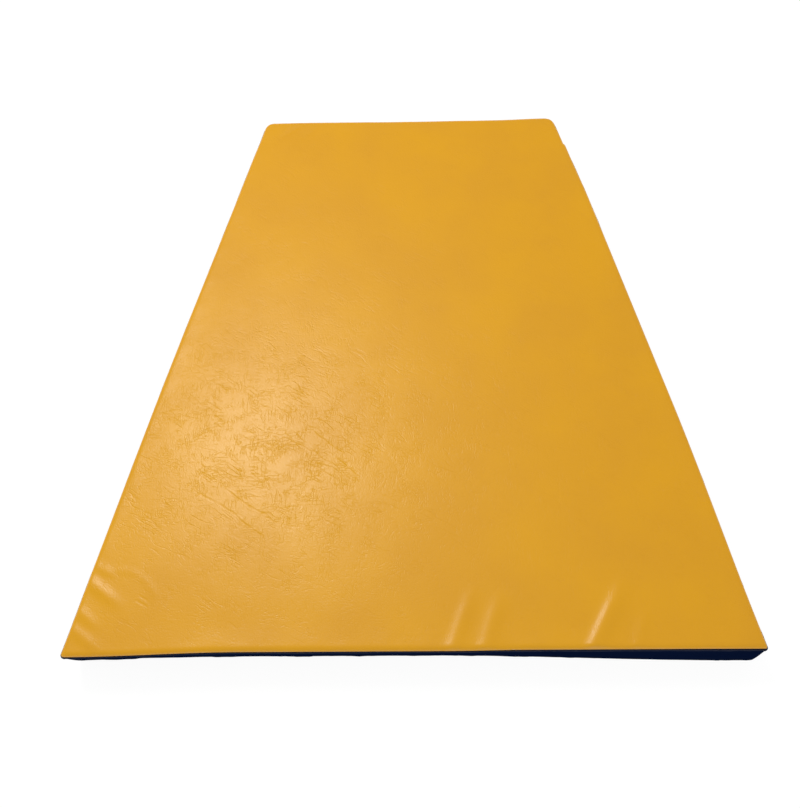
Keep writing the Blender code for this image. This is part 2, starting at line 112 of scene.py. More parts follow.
def smooth(share):
    """0 below 0 and 1 above 1, with an S-curve between them."""
    share = np.clip(share, 0.0, 1.0)
    return share * share * (3 - 2 * share)


def hump(place, middle, reach):
    """A soft bump of height 1."""
    return np.exp(-(((place - middle) / reach) ** 2))


def feed(tree, node, inputs):
    """Sets each input of a node, or links it to an output or to the first output of another node."""
    for key, value in inputs.items():
        if isinstance(value, bpy.types.Node):
            value = next(output for output in value.outputs if output.enabled)
        if isinstance(value, bpy.types.NodeSocket):
            tree.links.new(value, node.inputs[key])
        else:
            node.inputs[key].default_value = value


def add_node(tree, kind, inputs=None, **settings):
    """Adds a shader node, whose kind is given without its ShaderNode prefix, with settings and inputs."""
    node = tree.nodes.new(f"ShaderNode{kind}")
    for name, value in settings.items():
        setattr(node, name, value)
    feed(tree, node, inputs or {})
    return node


def unit(vectors):
    """Vectors of length 1 in the same directions."""
    return vectors / np.linalg.norm(vectors, axis=-1, keepdims=True)


def right_of(runs):
    """Directions in plan that point to the right of runs."""
    return np.stack([runs[..., 1], -runs[..., 0]], axis=-1)


def in_scene(name, data):
    """A new object in the scene, for a mesh, a light or a camera."""
    obj = bpy.data.objects.new(name, data)
    bpy.context.scene.collection.objects.link(obj)
    return obj


# Plan


CORNERS = [(-WIDE_END, -LENGTH), (WIDE_END, -LENGTH), (NARROW_END, LENGTH), (-NARROW_END, LENGTH)]
CORNERS = np.array(CORNERS) / 2
# Each side runs from its corner to the next one, anticlockwise seen from above
FRONT, ZIP_SIDE, BACK, LEFT = range(4)
RUNS = np.roll(CORNERS, -1, axis=0) - CORNERS
LENGTHS = np.linalg.norm(RUNS, axis=1)
ALONG = RUNS / LENGTHS[:, None]
OUTWARD = right_of(ALONG)
ZIP_START = ZIP_FROM_WIDE_END / LENGTHS[ZIP_SIDE]
ZIP_END = 1 - ZIP_FROM_NARROW_END / LENGTHS[ZIP_SIDE]
PLAN_AREA = (WIDE_END + NARROW_END) / 2 * LENGTH


def depth_from(side, plan):
    """Distance of plan points inwards from a side."""
    return -(plan - CORNERS[side]) @ OUTWARD[side]


def depth_inside(plan):
    """Distance of plan points inwards from the nearest side."""
    return np.min([depth_from(side, plan) for side in range(4)], axis=0)


def share_along(side, plan):
    """Where plan points lie along a side, from 0 at its first corner to 1 at its last."""
    return (plan - CORNERS[side]) @ ALONG[side] / LENGTHS[side]


def width_at(share):
    """Width of the plan at a share of the way from its wide end to its narrow end."""
    return WIDE_END + (NARROW_END - WIDE_END) * share


def rounded(plan):
    """Plan points once the corners of the trapezoid are rounded off."""
    made = plan.copy()
    for corner, reach, ahead, behind in zip(CORNERS, CORNER_REACHES, ALONG, -np.roll(ALONG, 1, axis=0)):
        sides = np.stack([ahead, behind])
        steps = (plan - corner) @ np.linalg.inv(sides)
        near = (steps < reach).all(axis=-1)
        square = 1 - steps[near] / reach
        disc = square * np.sqrt(1 - square[:, ::-1] ** 2 / 2)
        made[near] = corner + (1 - disc) * reach @ sides
    return made


def front_lean(share, up):
    """The front wall leans out over its foot on the left and stands nearly upright on the right."""
    seam = -0.0026 + 0.0060 * (1 - smooth(share / 0.25)) - 0.0012 * smooth((share - 0.55) / 0.12)
    foot = -0.0102 + 0.0040 * (1 - smooth(share / 0.12)) + 0.0095 * smooth((share - 0.52) / 0.46)
    foot += 0.0012 * hump(share, 0.12, 0.06)
    return foot + (seam - foot) * up


def back_lean(share, up):
    """The back wall is drawn in along its middle and leans out at its left end."""
    seam = 0.0013 * smooth((share - 0.35) / 0.60) - 0.0016 * hump(share, 0.20, 0.11)
    seam -= 0.0021 * hump(share, 0.48, 0.28)
    return seam * up - 0.0020 * (1 - up)


def left_lean(share, up):
    """The left wall swells a little near its middle and draws in towards the back."""
    from_front = 1 - share
    seam = 0.0008 + 0.0022 * hump(from_front, 0.42, 0.25) - 0.0020 * smooth((from_front - 0.45) / 0.55)
    seam -= 0.0014 * smooth((from_front - 0.90) / 0.07)
    return seam * up - 0.0030 * (1 - up) * smooth(share / 0.1) * smooth(from_front / 0.06)


def zip_lean(share, up):
    """The wall above and below the zip bellies out. At the zip it stays where its stiff tape holds it."""
    seam = -0.0015 + 0.0088 * smooth((share + 0.06) / 0.45) - 0.0030 * smooth((share - 0.80) / 0.13)
    seam -= 0.0026 * smooth((share - ZIP_END + 0.002) / 0.006)
    seam -= 0.0014 * smooth((share - 0.94) / 0.05)
    height = up * SEAM_HEIGHT
    above = smooth((height - ZIP_HIGH) / (SEAM_HEIGHT - ZIP_HIGH))
    below = smooth((ZIP_LOW - height) / ZIP_LOW)
    on_zip = smooth((share - ZIP_START) / 0.05) * smooth((ZIP_END + 0.045 - share) / 0.02)
    held = seam * above + 0.25 * seam * below
    return held * on_zip + seam * up * (1 - on_zip)


LEANS = (front_lean, zip_lean, back_lean, left_lean)
LEAN_REACH = 0.110


def leaning(plan, height):
    """How far the cover stands out from its plan, shared out over the panel towards the middle."""
    up = np.clip(height / SEAM_HEIGHT, 0.0, 1.0)
    moved = np.zeros_like(plan)
    for side, lean in enumerate(LEANS):
        near = 1 - smooth(depth_from(side, plan) / LEAN_REACH)
        share = np.clip(share_along(side, plan), 0.0, 1.0)
        moved += (lean(share, up) * near)[..., None] * OUTWARD[side]
    return moved


def placed(plan, height):
    """The finished (x, y, z) of points given by the sharp-cornered plan and their height."""
    flat = rounded(plan) + leaning(plan, height)
    return np.concatenate([flat, np.broadcast_to(height, plan.shape[:-1])[..., None]], axis=-1)


# Natural unevenness, from seeded lattices of random values


class Lattice:
    """Smooth random values over a surface, one for each cell of a lattice."""

    SIZE = 512

    def __init__(self, seed, cell):
        self.cell = cell
        self.values = np.random.default_rng(seed).uniform(-1, 1, (3, self.SIZE, self.SIZE))

    def noise(self, plan):
        """Values from -1 to 1 that change smoothly over one cell."""
        at = plan / self.cell + self.SIZE / 2
        low = np.floor(at).astype(int)
        share = smooth(at - low)
        i, j = (low % self.SIZE)[..., 0], (low % self.SIZE)[..., 1]
        k, m = (i + 1) % self.SIZE, (j + 1) % self.SIZE
        value, x, y = self.values[0], share[..., 0], share[..., 1]
        return (value[i, j] * (1 - x) + value[k, j] * x) * (1 - y) + (
            value[i, m] * (1 - x) + value[k, m] * x
        ) * y


def warped(plan, first, second, amount):
    """Plan points pushed about by two lattices, so that what follows them loses its straight lines."""
    return plan + amount * np.stack([first.noise(plan), second.noise(plan)], axis=-1)


def fold(plan, start, end, left_reach, right_reach, height):
    """Height of one soft fold. The reaches are its half-widths to the left and right of its line."""
    start, end = np.array(start), np.array(end)
    length = np.linalg.norm(end - start)
    run = (end - start) / length
    along = (plan - start) @ run / length
    across = (plan - start) @ np.array([-run[1], run[0]])
    reach = np.where(across > 0, left_reach, right_reach)
    ends = smooth((along + 0.30) / 0.30) * (1 - smooth((along - 0.50) / 0.70))
    return height * ends * np.exp(-((across / reach) ** 2))


# Top panel


PANEL_CELLS = 282
EDGE_ROWS = 11
EDGE_BAND = 0.0170
EDGE_ROW_GROWTH = 1.9

# Folds where the seam gathers the panel: start at the seam, end, half-width left and right, height
GATHERS = (
    ((0.057, -0.496), (0.088, -0.412), 0.0085, 0.0120, 0.0017),
    ((0.102, -0.496), (0.128, -0.420), 0.0095, 0.0130, 0.0016),
    ((0.254, -0.497), (0.305, -0.402), 0.0085, 0.0160, 0.0033),
    ((0.316, -0.495), (0.334, -0.446), 0.0070, 0.0100, 0.0010),
    ((-0.470, -0.371), (-0.436, -0.388), 0.0070, 0.0050, 0.0009),
    ((-0.480, -0.391), (-0.422, -0.432), 0.0085, 0.0070, 0.0016),
    ((-0.490, -0.431), (-0.450, -0.462), 0.0070, 0.0065, 0.0011),
    ((-0.496, -0.456), (-0.443, -0.494), 0.0080, 0.0065, 0.0014),
    ((-0.203, 0.494), (-0.246, 0.457), 0.0045, 0.0060, -0.0008),
    ((-0.171, 0.494), (-0.203, 0.449), 0.0045, 0.0070, -0.0006),
)
# A shallow crease that arcs round the front left corner: its points, half-widths and height
ARC_LINE = (
    (-0.4315, -0.3764), (-0.4084, -0.3813), (-0.3921, -0.3918), (-0.3793, -0.4048), (-0.3707, -0.4204),
)
ARC_SHAPE = (0.0030, 0.0060, 0.0004)
# Distances from the seam over which folds, relief and broad waves come in, and the puckers die out
FOLDS_COME_IN = 0.004
RELIEF_COMES_IN = 0.012
WAVES_COME_IN = 0.045
PUCKERS_DIE_OUT = 0.035
PUCKER_HEIGHT = 0.00035
PUCKER_CELL = 0.020
# The foam lifts the middle of the panel
CROWN_HEIGHT = 0.0010
CROWN_REACH = 0.250
PANEL_CRUSH = 0.6
WALL_CRUSH = 0.6


def edge_steps():
    """Depths of the rows that follow the rolled edge, closer together towards the seam."""
    return EDGE_BAND * (np.arange(EDGE_ROWS) / (EDGE_ROWS - 1)) ** EDGE_ROW_GROWTH


def panel_plan():
    """Rows of plan points from the wide end to the narrow end, closer together along the edges."""
    near = edge_steps()
    middle = np.linspace(near[-1], LENGTH - near[-1], PANEL_CELLS + 1)[1:-1]
    depths = np.concatenate([near, middle, LENGTH - near[::-1]])
    widths = width_at(depths / LENGTH)
    inwards = near / -OUTWARD[LEFT][0]
    share = np.linspace(0, 1, PANEL_CELLS + 1)[1:-1]
    spans = widths[:, None] - 2 * inwards[-1]
    across = np.concatenate(
        [
            np.broadcast_to(inwards, (len(depths), EDGE_ROWS)),
            inwards[-1] + share * spans,
            widths[:, None] - inwards[::-1],
        ],
        axis=1,
    )
    x = across - widths[:, None] / 2
    return np.stack([x, np.broadcast_to(depths[:, None] - LENGTH / 2, x.shape)], axis=-1)


def edge_drop(plan):
    """Share of the rolled edge's drop, 1 at the seam and 0 where the panel lies flat."""
    flat = np.ones(plan.shape[:-1])
    for side in range(4):
        near = np.clip(1 - depth_from(side, plan) / EDGE_ROLL, 0, 1)
        flat *= (1 - near**EDGE_ROLL_POWER) ** (1 / EDGE_ROLL_POWER)
    return 1 - flat


def contour_creases(plan, seed, turn, cell, width, patch):
    """Wandering valleys along the lines where a stretched noise passes zero, shown in patches only."""
    turn = math.radians(turn)
    axes = np.array([(math.cos(turn), -math.sin(turn)), (math.sin(turn), math.cos(turn))])
    stretched = plan @ axes / cell
    line = np.abs(Lattice(seed, 1.0).noise(stretched))
    shown = smooth(0.3 + 1.3 * Lattice(seed + 1, patch).noise(plan))
    return shown * (1 - smooth(line / width))


# Broad valleys of the crush: depth, seed, direction in degrees, cell along and across, width and patches
CRUSH_VALLEYS = (
    (0.00004, 15, -32, (0.060, 0.022), 0.16, 0.070),
    (0.00003, 17, 4, (0.045, 0.016), 0.20, 0.060),
    (0.00003, 19, 80, (0.040, 0.020), 0.18, 0.090),
)
# Plates between them: height, seed and cell
CRUSH_PLATES = ((0.00003, 25, 0.026), (0.00001, 26, 0.013))


def crush_relief(plan):
    """The broad creases of crushed vinyl, which wander between smooth plates."""
    first, second = Lattice(11, 0.050), Lattice(12, 0.050)
    third, fourth = Lattice(13, 0.014), Lattice(14, 0.014)
    bent = warped(warped(plan, first, second, 0.018), third, fourth, 0.004)
    valleys = sum(depth * contour_creases(bent, *valley) for depth, *valley in CRUSH_VALLEYS)
    plates = sum(height * Lattice(seed, cell).noise(bent) for height, seed, cell in CRUSH_PLATES)
    return plates - valleys


# Long creases: how many, their directions and half-lengths, their depths, and the rise beside each
LONG_CREASES = 46
LONG_DIRECTION = math.radians(-32)
LONG_SPREAD = math.radians(22)
LONG_HALF = (0.015, 0.050)
LONG_DEPTH = (0.00006, 0.00015)
RISE_BESIDE = 0.25


def long_creases(plan):
    """Faint creases left by folding the cover, most of them running down to the right."""
    draw = np.random.default_rng(21)
    total = np.zeros(plan.shape[:-1])
    bent = warped(plan, Lattice(22, 0.030), Lattice(23, 0.030), 0.006)
    for _ in range(LONG_CREASES):
        middle = draw.uniform((-0.46, -0.47), (0.42, 0.45))
        angle = draw.normal(LONG_DIRECTION, LONG_SPREAD)
        half = draw.uniform(*LONG_HALF) * np.array([math.cos(angle), math.sin(angle)])
        depth = draw.uniform(*LONG_DEPTH)
        total += fold(bent, middle - half, middle + half, 0.0024, 0.0030, -depth)
        total += fold(bent, middle - half, middle + half, 0.0090, 0.0040, RISE_BESIDE * depth)
    return total


# Unevenness of the cut foam: height, seed and cell
FOAM_WAVES = ((0.00060, 31, 0.150), (0.00015, 32, 0.062))

# Simulated settling of the top panel on the foam: cells across and along, and frames
SETTLE_CELLS = (84, 100)
SETTLE_FRAMES = 20
# How far the seam is held down and the panel starts above the foam, and how much too small it is cut
SETTLE_DROP = 0.003
SETTLE_LIFT = 0.0004
SETTLE_CUT_SMALL = 0.001
# Passes that smooth the result, and rows at the edge that the held seam distorts
SETTLE_CALMING = 12
SETTLE_EDGE = 2
# The foam under it: cells, size as a share of the plan, and thickness of what pushes the panel out
SUPPORT_CELLS = (60, 60)
SUPPORT_SPREAD = 0.985
SUPPORT_DEPTH = 0.02
CLOTH_GAP = 0.0015
# Vinyl cloth: kilograms per square metre, and how stiff and how damped it is
VINYL_MASS = 0.65
VINYL_CLOTH = {
    "quality": 4,
    "tension_stiffness": 60,
    "compression_stiffness": 60,
    "shear_stiffness": 20,
    "bending_stiffness": 2,
    "tension_damping": 30,
    "compression_damping": 30,
    "shear_damping": 30,
    "bending_damping": 2,
    "air_damping": 4,
}


def foam_unevenness(plan):
    """How far the cut foam lies above or below its level."""
    return sum(height * Lattice(seed, cell).noise(plan) for height, seed, cell in FOAM_WAVES)


def sheet_plan(across, rows, spread=1.0):
    """Rows of evenly spaced plan points over the trapezoid."""
    depth = np.linspace(0, 1, rows + 1)
    width = spread * width_at(depth)
    x = (np.linspace(0, 1, across + 1) - 0.5) * width[:, None]
    y = spread * LENGTH * (depth - 0.5)
    return np.stack([x, np.broadcast_to(y[:, None], x.shape)], axis=-1)


def working_sheet(name, plan, height):
    """A grid that is only there for the simulation."""
    points = np.concatenate([plan, height[..., None]], axis=-1).reshape(-1, 3)
    mesh = bpy.data.meshes.new(name)
    mesh.from_pydata(points.tolist(), [], quads(*height.shape).tolist())
    return in_scene(name, mesh)


def settled_panel():
    """Heights of the panel over its cells, once it is pulled taut over the foam's uneven top.

    It is cut slightly small and held along its seam, which lies lower than the top of the foam.
    """
    plan = sheet_plan(*SETTLE_CELLS)
    level = foam_unevenness(plan)
    seam = np.ones(level.shape, bool)
    seam[1:-1, 1:-1] = False
    sheet = working_sheet("settling_panel", plan, np.where(seam, -SETTLE_DROP, level + SETTLE_LIFT))
    held = sheet.vertex_groups.new(name="seam")
    held.add(np.flatnonzero(seam).tolist(), 1.0, "REPLACE")
    under = sheet_plan(*SUPPORT_CELLS, SUPPORT_SPREAD)
    support = working_sheet("settling_foam", under, foam_unevenness(under) - 2 * CLOTH_GAP)
    support.modifiers.new("collision", "COLLISION")
    support.collision.thickness_outer = CLOTH_GAP
    support.collision.thickness_inner = SUPPORT_DEPTH
    cloth = sheet.modifiers.new("cloth", "CLOTH")
    cloth.point_cache.frame_end = SETTLE_FRAMES
    cloth.collision_settings.distance_min = CLOTH_GAP
    cloth.collision_settings.use_self_collision = False
    for name, value in VINYL_CLOTH.items():
        setattr(cloth.settings, name, value)
    cloth.settings.mass = VINYL_MASS * PLAN_AREA / level.size
    cloth.settings.vertex_group_mass = "seam"
    cloth.settings.shrink_min = cloth.settings.shrink_max = SETTLE_CUT_SMALL
    for number in range(1, SETTLE_FRAMES + 1):
        bpy.context.scene.frame_set(number)
    settled = sheet.evaluated_get(bpy.context.evaluated_depsgraph_get()).data
    points = np.empty(level.size * 3)
    settled.vertices.foreach_get("co", points)
    for obj in (sheet, support):
        mesh = obj.data
        bpy.data.objects.remove(obj)
        bpy.data.meshes.remove(mesh)
    bpy.context.scene.frame_set(1)
    return calmed(points.reshape(*level.shape, 3)[..., 2])


def calmed(heights):
    """Heights whose jumps from one cell to the next are smoothed away, and that average to nothing."""
    inner = slice(SETTLE_EDGE, -SETTLE_EDGE)
    heights = np.pad(heights[inner, inner], SETTLE_EDGE, mode="edge")
    for _ in range(SETTLE_CALMING):
        for axis in (0, 1):
            wide = np.pad(heights, [(1, 1) if way == axis else (0, 0) for way in (0, 1)], mode="edge")
            ahead, here, behind = (np.roll(wide, way, axis=axis) for way in (1, 0, -1))
            middle = tuple(slice(1, -1) if way == axis else slice(None) for way in (0, 1))
            heights = ((ahead + 2 * here + behind) / 4)[middle]
    return heights - heights.mean()


def on_sheet(heights, plan):
    """A sheet's heights at points of the plan, read off with cubic B-splines over its cells."""
    depth = plan[..., 1] / LENGTH + 0.5
    share = plan[..., 0] / width_at(depth) + 0.5
    places, weights = [], []
    for at, count in ((depth, heights.shape[0]), (share, heights.shape[1])):
        at = np.clip(at, 0, 1) * (count - 1)
        low = np.floor(at).astype(int)
        f = at - low
        places.append([np.clip(low + step, 0, count - 1) for step in (-1, 0, 1, 2)])
        weights.append([(1 - f) ** 3, 3 * f**3 - 6 * f**2 + 4, 3 * (f + f**2 - f**3) + 1, f**3])
    total = 0.0
    for row, row_weight in zip(places[0], weights[0]):
        for column, column_weight in zip(places[1], weights[1]):
            total = total + row_weight * column_weight * heights[row, column]
    return total / 36


def panel_height(plan):
    """Height of the top panel over its sharp-cornered plan."""
    inside = 1 - edge_drop(plan)
    depth = depth_inside(plan)
    folded = smooth(depth / FOLDS_COME_IN)
    waves = on_sheet(settled_panel(), plan) * smooth(depth / WAVES_COME_IN)
    crown = CROWN_HEIGHT * smooth(depth / CROWN_REACH)
    gathers = sum(fold(plan, *gather) for gather in GATHERS) * folded
    arc = sum(fold(plan, *ends, *ARC_SHAPE) for ends in zip(ARC_LINE, ARC_LINE[1:]))
    puckers = PUCKER_HEIGHT * Lattice(33, PUCKER_CELL).noise(plan)
    puckers *= (1 - smooth(depth / PUCKERS_DIE_OUT)) * folded
    relief = waves + PANEL_CRUSH * crush_relief(plan) + long_creases(plan) + arc + crown
    relief *= smooth(depth / RELIEF_COMES_IN)
    return SEAM_HEIGHT + (TOP - SEAM_HEIGHT) * inside + relief + gathers + puckers


def quads(rows, columns, ring=False):
    """Faces over rows of points. With ring, each row's last point joins its first."""
    index = np.arange(rows * columns).reshape(rows, columns)
    if ring:
        index = np.concatenate([index, index[:, :1]], axis=1)
    corners = [index[:-1, :-1], index[:-1, 1:], index[1:, 1:], index[1:, :-1]]
    return np.stack(corners, axis=-1).reshape(-1, 4)


def outline_of(grid):
    """The indices round a grid's outside, anticlockwise from its first point."""
    rows, columns = grid
    index = np.arange(rows * columns).reshape(rows, columns)
    return np.concatenate([index[0, :-1], index[:-1, -1], index[-1, :0:-1], index[:0:-1, 0]])


def outward_of(loop):
    """Outward directions in plan at the points of a closed loop that runs anticlockwise."""
    return right_of(unit(np.roll(loop, -1, axis=0)[:, :2] - np.roll(loop, 1, axis=0)[:, :2]))


def piece(name, points, faces, material, body="mat"):
    """A smooth-shaded mesh object that rides on a body."""
    mesh = bpy.data.meshes.new(name)
    mesh.from_pydata(points.tolist(), [], [tuple(face) for face in faces])
    mesh.shade_smooth()
    mesh.materials.append(material)
    obj = in_scene(name, mesh)
    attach(obj, body)
    return obj


def turned_in(points, faces, loop, steps):
    """Carries a loop of points on through steps of (inwards, down), as a seam allowance does."""
    base = points[loop]
    outward = outward_of(base)
    first = loop
    for inwards, down in steps:
        row = np.concatenate([base[:, :2] - outward * inwards, base[:, 2:] - down], axis=1)
        second = len(points) + np.arange(len(loop))
        points = np.concatenate([points, row])
        faces = [*faces, *np.stack([first, second, np.roll(second, -1), np.roll(first, -1)], axis=1)]
        first = second
    return points, faces


# How the panel's allowance turns into the seam: inwards and down
TURN_IN_STEPS = ((0.0004, 0.0006), (0.0014, 0.0010), (TURN_IN, 0.0012))


def top_skin(material):
    """The yellow panel, from its middle over its rolled edge into the seam."""
    plan = panel_plan()
    points = placed(plan, panel_height(plan))
    grid = points.shape[:2]
    loop = outline_of(grid)
    points, faces = turned_in(points.reshape(-1, 3), quads(*grid), loop, TURN_IN_STEPS)
    skin = piece("top_skin", points, faces, material)
    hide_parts("top_panel")


# Side walls


WALL_STEP = 0.0034
WALL_TOP = SEAM_HEIGHT - 0.0014
WALL_ROW = 0.0028
# Radii that a seam's edge and a hem's edge turn in with
SEAM_BEND = 0.0022
HEM_BEND = 0.0009
# Ends of a strip turn in too: ahead and inwards
END_STEPS = ((0.0002, 0.0004), (0.0004, 0.0011), (0.0004, 0.0032))
CORNER_POINTS = 6
# The seam draws the yellow panel in, and the wall swells past it just below
SHOULDER = 0.0018
SHOULDER_REACH = 0.0042
SHOULDER_HEIGHT = SEAM_HEIGHT - 0.0042
# A wall's belly, the waves that run up it (height, seed, cell) and the gathers at its seams
WALL_BELLY = 0.0016
WALL_WAVES = ((0.0008, 41, 0.070), (0.0004, 42, 0.024))
WALL_GATHERS = (0.00045, 43, 0.011)
# Beside the zip's upright seams, where the pull lies over the wall, the wall is held nearly flat
HELD_FLAT = 0.016
FLAT_FADES_OVER = 0.022
FLATTEST = 0.1


def wall_profile(low, high, hems=(False, False)):
    """(height, depth) rows of a wall. A seam's edge turns in, and a hem's edge folds back behind itself."""
    bends = [HEM_BEND if hem else SEAM_BEND for hem in hems]
    straight = high - low - sum(bends)
    heights = np.linspace(low + bends[0], high - bends[1], max(3, round(straight / WALL_ROW)))
    turn = np.linspace(0, math.pi / 2, 4)[1:]
    rows = [(h, 0.0) for h in heights]
    for bend, hem, edge, way in zip(bends, hems, (low, high), (1, -1)):
        angles = 2 * turn if hem else turn
        arc = [(edge + way * bend * (1 - math.sin(a)), bend * (1 - math.cos(a))) for a in angles]
        arc.append((edge + way * HEM, 2 * bend) if hem else (edge, TURN_IN))
        rows = [*arc[::-1], *rows] if way > 0 else [*rows, *arc]
    return np.array(rows)


def inset_corners(inset):
    """The corners of the plan moved in by one distance from every side."""
    behind = -np.roll(ALONG, 1, axis=0)
    sine = np.abs(ALONG[:, 0] * behind[:, 1] - ALONG[:, 1] * behind[:, 0])
    return CORNERS + (ALONG + behind) * inset / sine[:, None]


def perimeter(stretches, inset=0.0):
    """Plan points, closer at the corners, over (side, start, end) stretches given as shares of a side."""
    corners = inset_corners(inset)
    runs = np.roll(corners, -1, axis=0) - corners
    points = []
    for side, start, end in stretches:
        count = max(2, round((end - start) * LENGTHS[side] / WALL_STEP))
        share = np.linspace(start, end, count, endpoint=False)
        first = CORNER_REACHES[side] / LENGTHS[side]
        last = 1 - CORNER_REACHES[(side + 1) % 4] / LENGTHS[side]
        corner = np.linspace(0, 1, CORNER_POINTS, endpoint=False)
        if start == 0:
            share = np.concatenate([corner * first, share[share > first]])
        if end == 1:
            share = np.concatenate([share[share < last], last + (1 - last) * corner])
        points.append(corners[side] + share[:, None] * runs[side])
    if end < 1:
        points.append((corners[side] + end * runs[side])[None])
    return np.concatenate(points)


def freedom(plan):
    """How freely a wall bellies: hardly at all beside the upright seams at both ends of the zip."""
    distance = share_along(ZIP_SIDE, plan)
    away = np.min([abs(distance - end) for end in (ZIP_START, ZIP_END)], axis=0) * LENGTHS[ZIP_SIDE]
    away = np.where(depth_from(ZIP_SIDE, plan) < 1e-6, away, 1.0)
    return FLATTEST + (1 - FLATTEST) * smooth((away - HELD_FLAT) / FLAT_FADES_OVER)


def wall_surface(plan, heights, low, high):
    """Points of a wall's outside and its outward directions, for rows of heights over plan points."""
    spread = np.broadcast_to(plan, (len(heights), *plan.shape))
    heights = heights[:, None] + 0 * plan[None, :, 0]
    points = placed(spread, heights)
    outward = right_of(unit(np.gradient(points[..., :2], axis=1)))
    distance = plan @ ALONG[ZIP_SIDE] + 2.0 * plan[:, 0]
    surface = np.stack([distance + 0 * heights, heights], axis=-1)
    points[..., :2] += outward * (wall_relief(surface, low, high) * freedom(plan))[..., None]
    return points, outward


def wall(name, stretches, low, high, node, material, hems=(False, False)):
    """A strip of the side wall between two heights, with its edges and ends turned in."""
    profile = wall_profile(low, high, hems)
    points, outward = wall_surface(perimeter(stretches), profile[:, 0], low, high)
    points[..., :2] -= outward * profile[:, 1][:, None, None]
    ends = []
    for column, way in ((0, -1), (-1, 1)):
        run = np.stack([-outward[:, column, 1], outward[:, column, 0]], axis=-1) * way
        steps = END_STEPS[::way]
        turned = np.stack([points[:, column]] * len(steps), axis=1)
        for step, (ahead, inwards) in enumerate(steps):
            turned[:, step, :2] += run * ahead - outward[:, column] * inwards
        ends.append(turned)
    points = np.concatenate([ends[0], points, ends[1]], axis=1)
    obj = piece(name, points.reshape(-1, 3), quads(*points.shape[:2]), material)
    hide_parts(node)


def wall_relief(surface, low, high):
    """How far a wall stands out: its belly, upright waves that the seams gather, and the vinyl's plates."""
    up = np.clip((surface[..., 1] - low) / (high - low), 0, 1)
    upright = surface * (1.0, 0.22)
    waves = sum(height * Lattice(seed, cell).noise(upright) for height, seed, cell in WALL_WAVES)
    gather, seed, cell = WALL_GATHERS
    gathers = gather * Lattice(seed, cell).noise(surface * (1.0, 0.35))
    near_seam = hump(up, 1.0, 0.25) + hump(up, 0.0, 0.20)
    belly = WALL_BELLY * (high - low) / SEAM_HEIGHT * np.sqrt(np.clip(4 * up * (1 - up), 0, 1))
    belly += SHOULDER * hump(surface[..., 1], SHOULDER_HEIGHT, SHOULDER_REACH)
    held = smooth(up / 0.12) * smooth((1 - up) / 0.12)
    return belly + (waves + gathers * near_seam + WALL_CRUSH * crush_relief(surface)) * held


UNDERSIDE_CELLS = (120, 120)
# How the underside rises to its seam, how uneven it is, and how far its edge lies inside the walls
UNDERSIDE_RISE = 0.0016
UNDERSIDE_WAVE = 0.00012
UNDERSIDE_SET_IN = 0.0024


def bottom_skin(material):
    """The underside, which lies flat on the floor and rises to its seam."""
    plan = sheet_plan(*UNDERSIDE_CELLS)
    rise = UNDERSIDE_RISE * (1 - smooth(depth_inside(plan) / RELIEF_COMES_IN))
    rise += UNDERSIDE_WAVE * (1 + Lattice(51, 0.050).noise(plan))
    points = placed(plan, rise)
    outward = np.zeros_like(plan)
    for side in range(4):
        outward += np.where(depth_from(side, plan) < 1e-6, 1.0, 0.0)[..., None] * OUTWARD[side]
    points[..., :2] -= UNDERSIDE_SET_IN * outward
    faces = quads(*points.shape[:2])[:, ::-1]
    skin = piece("bottom_skin", points.reshape(-1, 3), faces, material)
    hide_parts("bottom_panel")


# Foam


def pocket(plan, height):
    """How far the foam is cut back behind the zip."""
    share = share_along(ZIP_SIDE, plan)
    behind = depth_from(ZIP_SIDE, plan) < FOAM_IN_FROM_WALL + 1e-6
    run = smooth((share - ZIP_START) / 0.008) * smooth((ZIP_END - share) / 0.008)
    opening = np.clip((POCKET_HALF + POCKET_SLOPE - abs(height - ZIP_HEIGHT)) / POCKET_SLOPE, 0, 1)
    return POCKET_DEPTH * behind * run * opening


def foam_block(name, low, high, node, material):
    """A layer of the foam core, cut a little smaller than the cover, with soft cut edges."""
    turn = np.linspace(0, math.pi / 2, 4)
    edge = [(FOAM_EASE * (1 - math.sin(a)), FOAM_EASE * (1 - math.cos(a))) for a in turn]
    lower = [(low + inwards, ease) for inwards, ease in edge[::-1]]
    upper = [(high - inwards, ease) for inwards, ease in edge]
    ring = [(side, 0.0, 1.0) for side in (FRONT, ZIP_SIDE, BACK, LEFT)]
    reach = POCKET_HALF + POCKET_SLOPE
    side = [(ZIP_HEIGHT + row, 0.0) for row in (-reach, -POCKET_HALF, 0.0, POCKET_HALF, reach)]
    side = [row for row in side if low + FOAM_EASE < row[0] < high - FOAM_EASE]
    rows = []
    for height, ease in [*lower, *side, *upper]:
        plan = perimeter(ring, FOAM_IN_FROM_WALL + ease)
        plan = plan - pocket(plan, height)[:, None] * OUTWARD[ZIP_SIDE]
        rows.append(placed(plan, np.full(len(plan), height)))
    for height, cap in ((low, rows[0]), (high, rows[-1])):
        middle = cap.mean(axis=0)
        shrunk = [middle + (cap - middle) * share for share in CAP_RINGS]
        rows = [*shrunk[::-1], *rows] if height == low else [*rows, *shrunk]
    count = len(rows[0])
    points = np.concatenate(rows)
    last = len(points) - count
    faces = [*quads(len(rows), count, ring=True), range(count)[::-1], range(last, len(points))]
    block = piece(name, points, faces, material)
    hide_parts(node)


# Zip


def zip_plan(along):
    """Plan points on the line of the zip wall, at distances from its wide end."""
    return CORNERS[ZIP_SIDE] + np.asarray(along)[:, None] * ALONG[ZIP_SIDE]


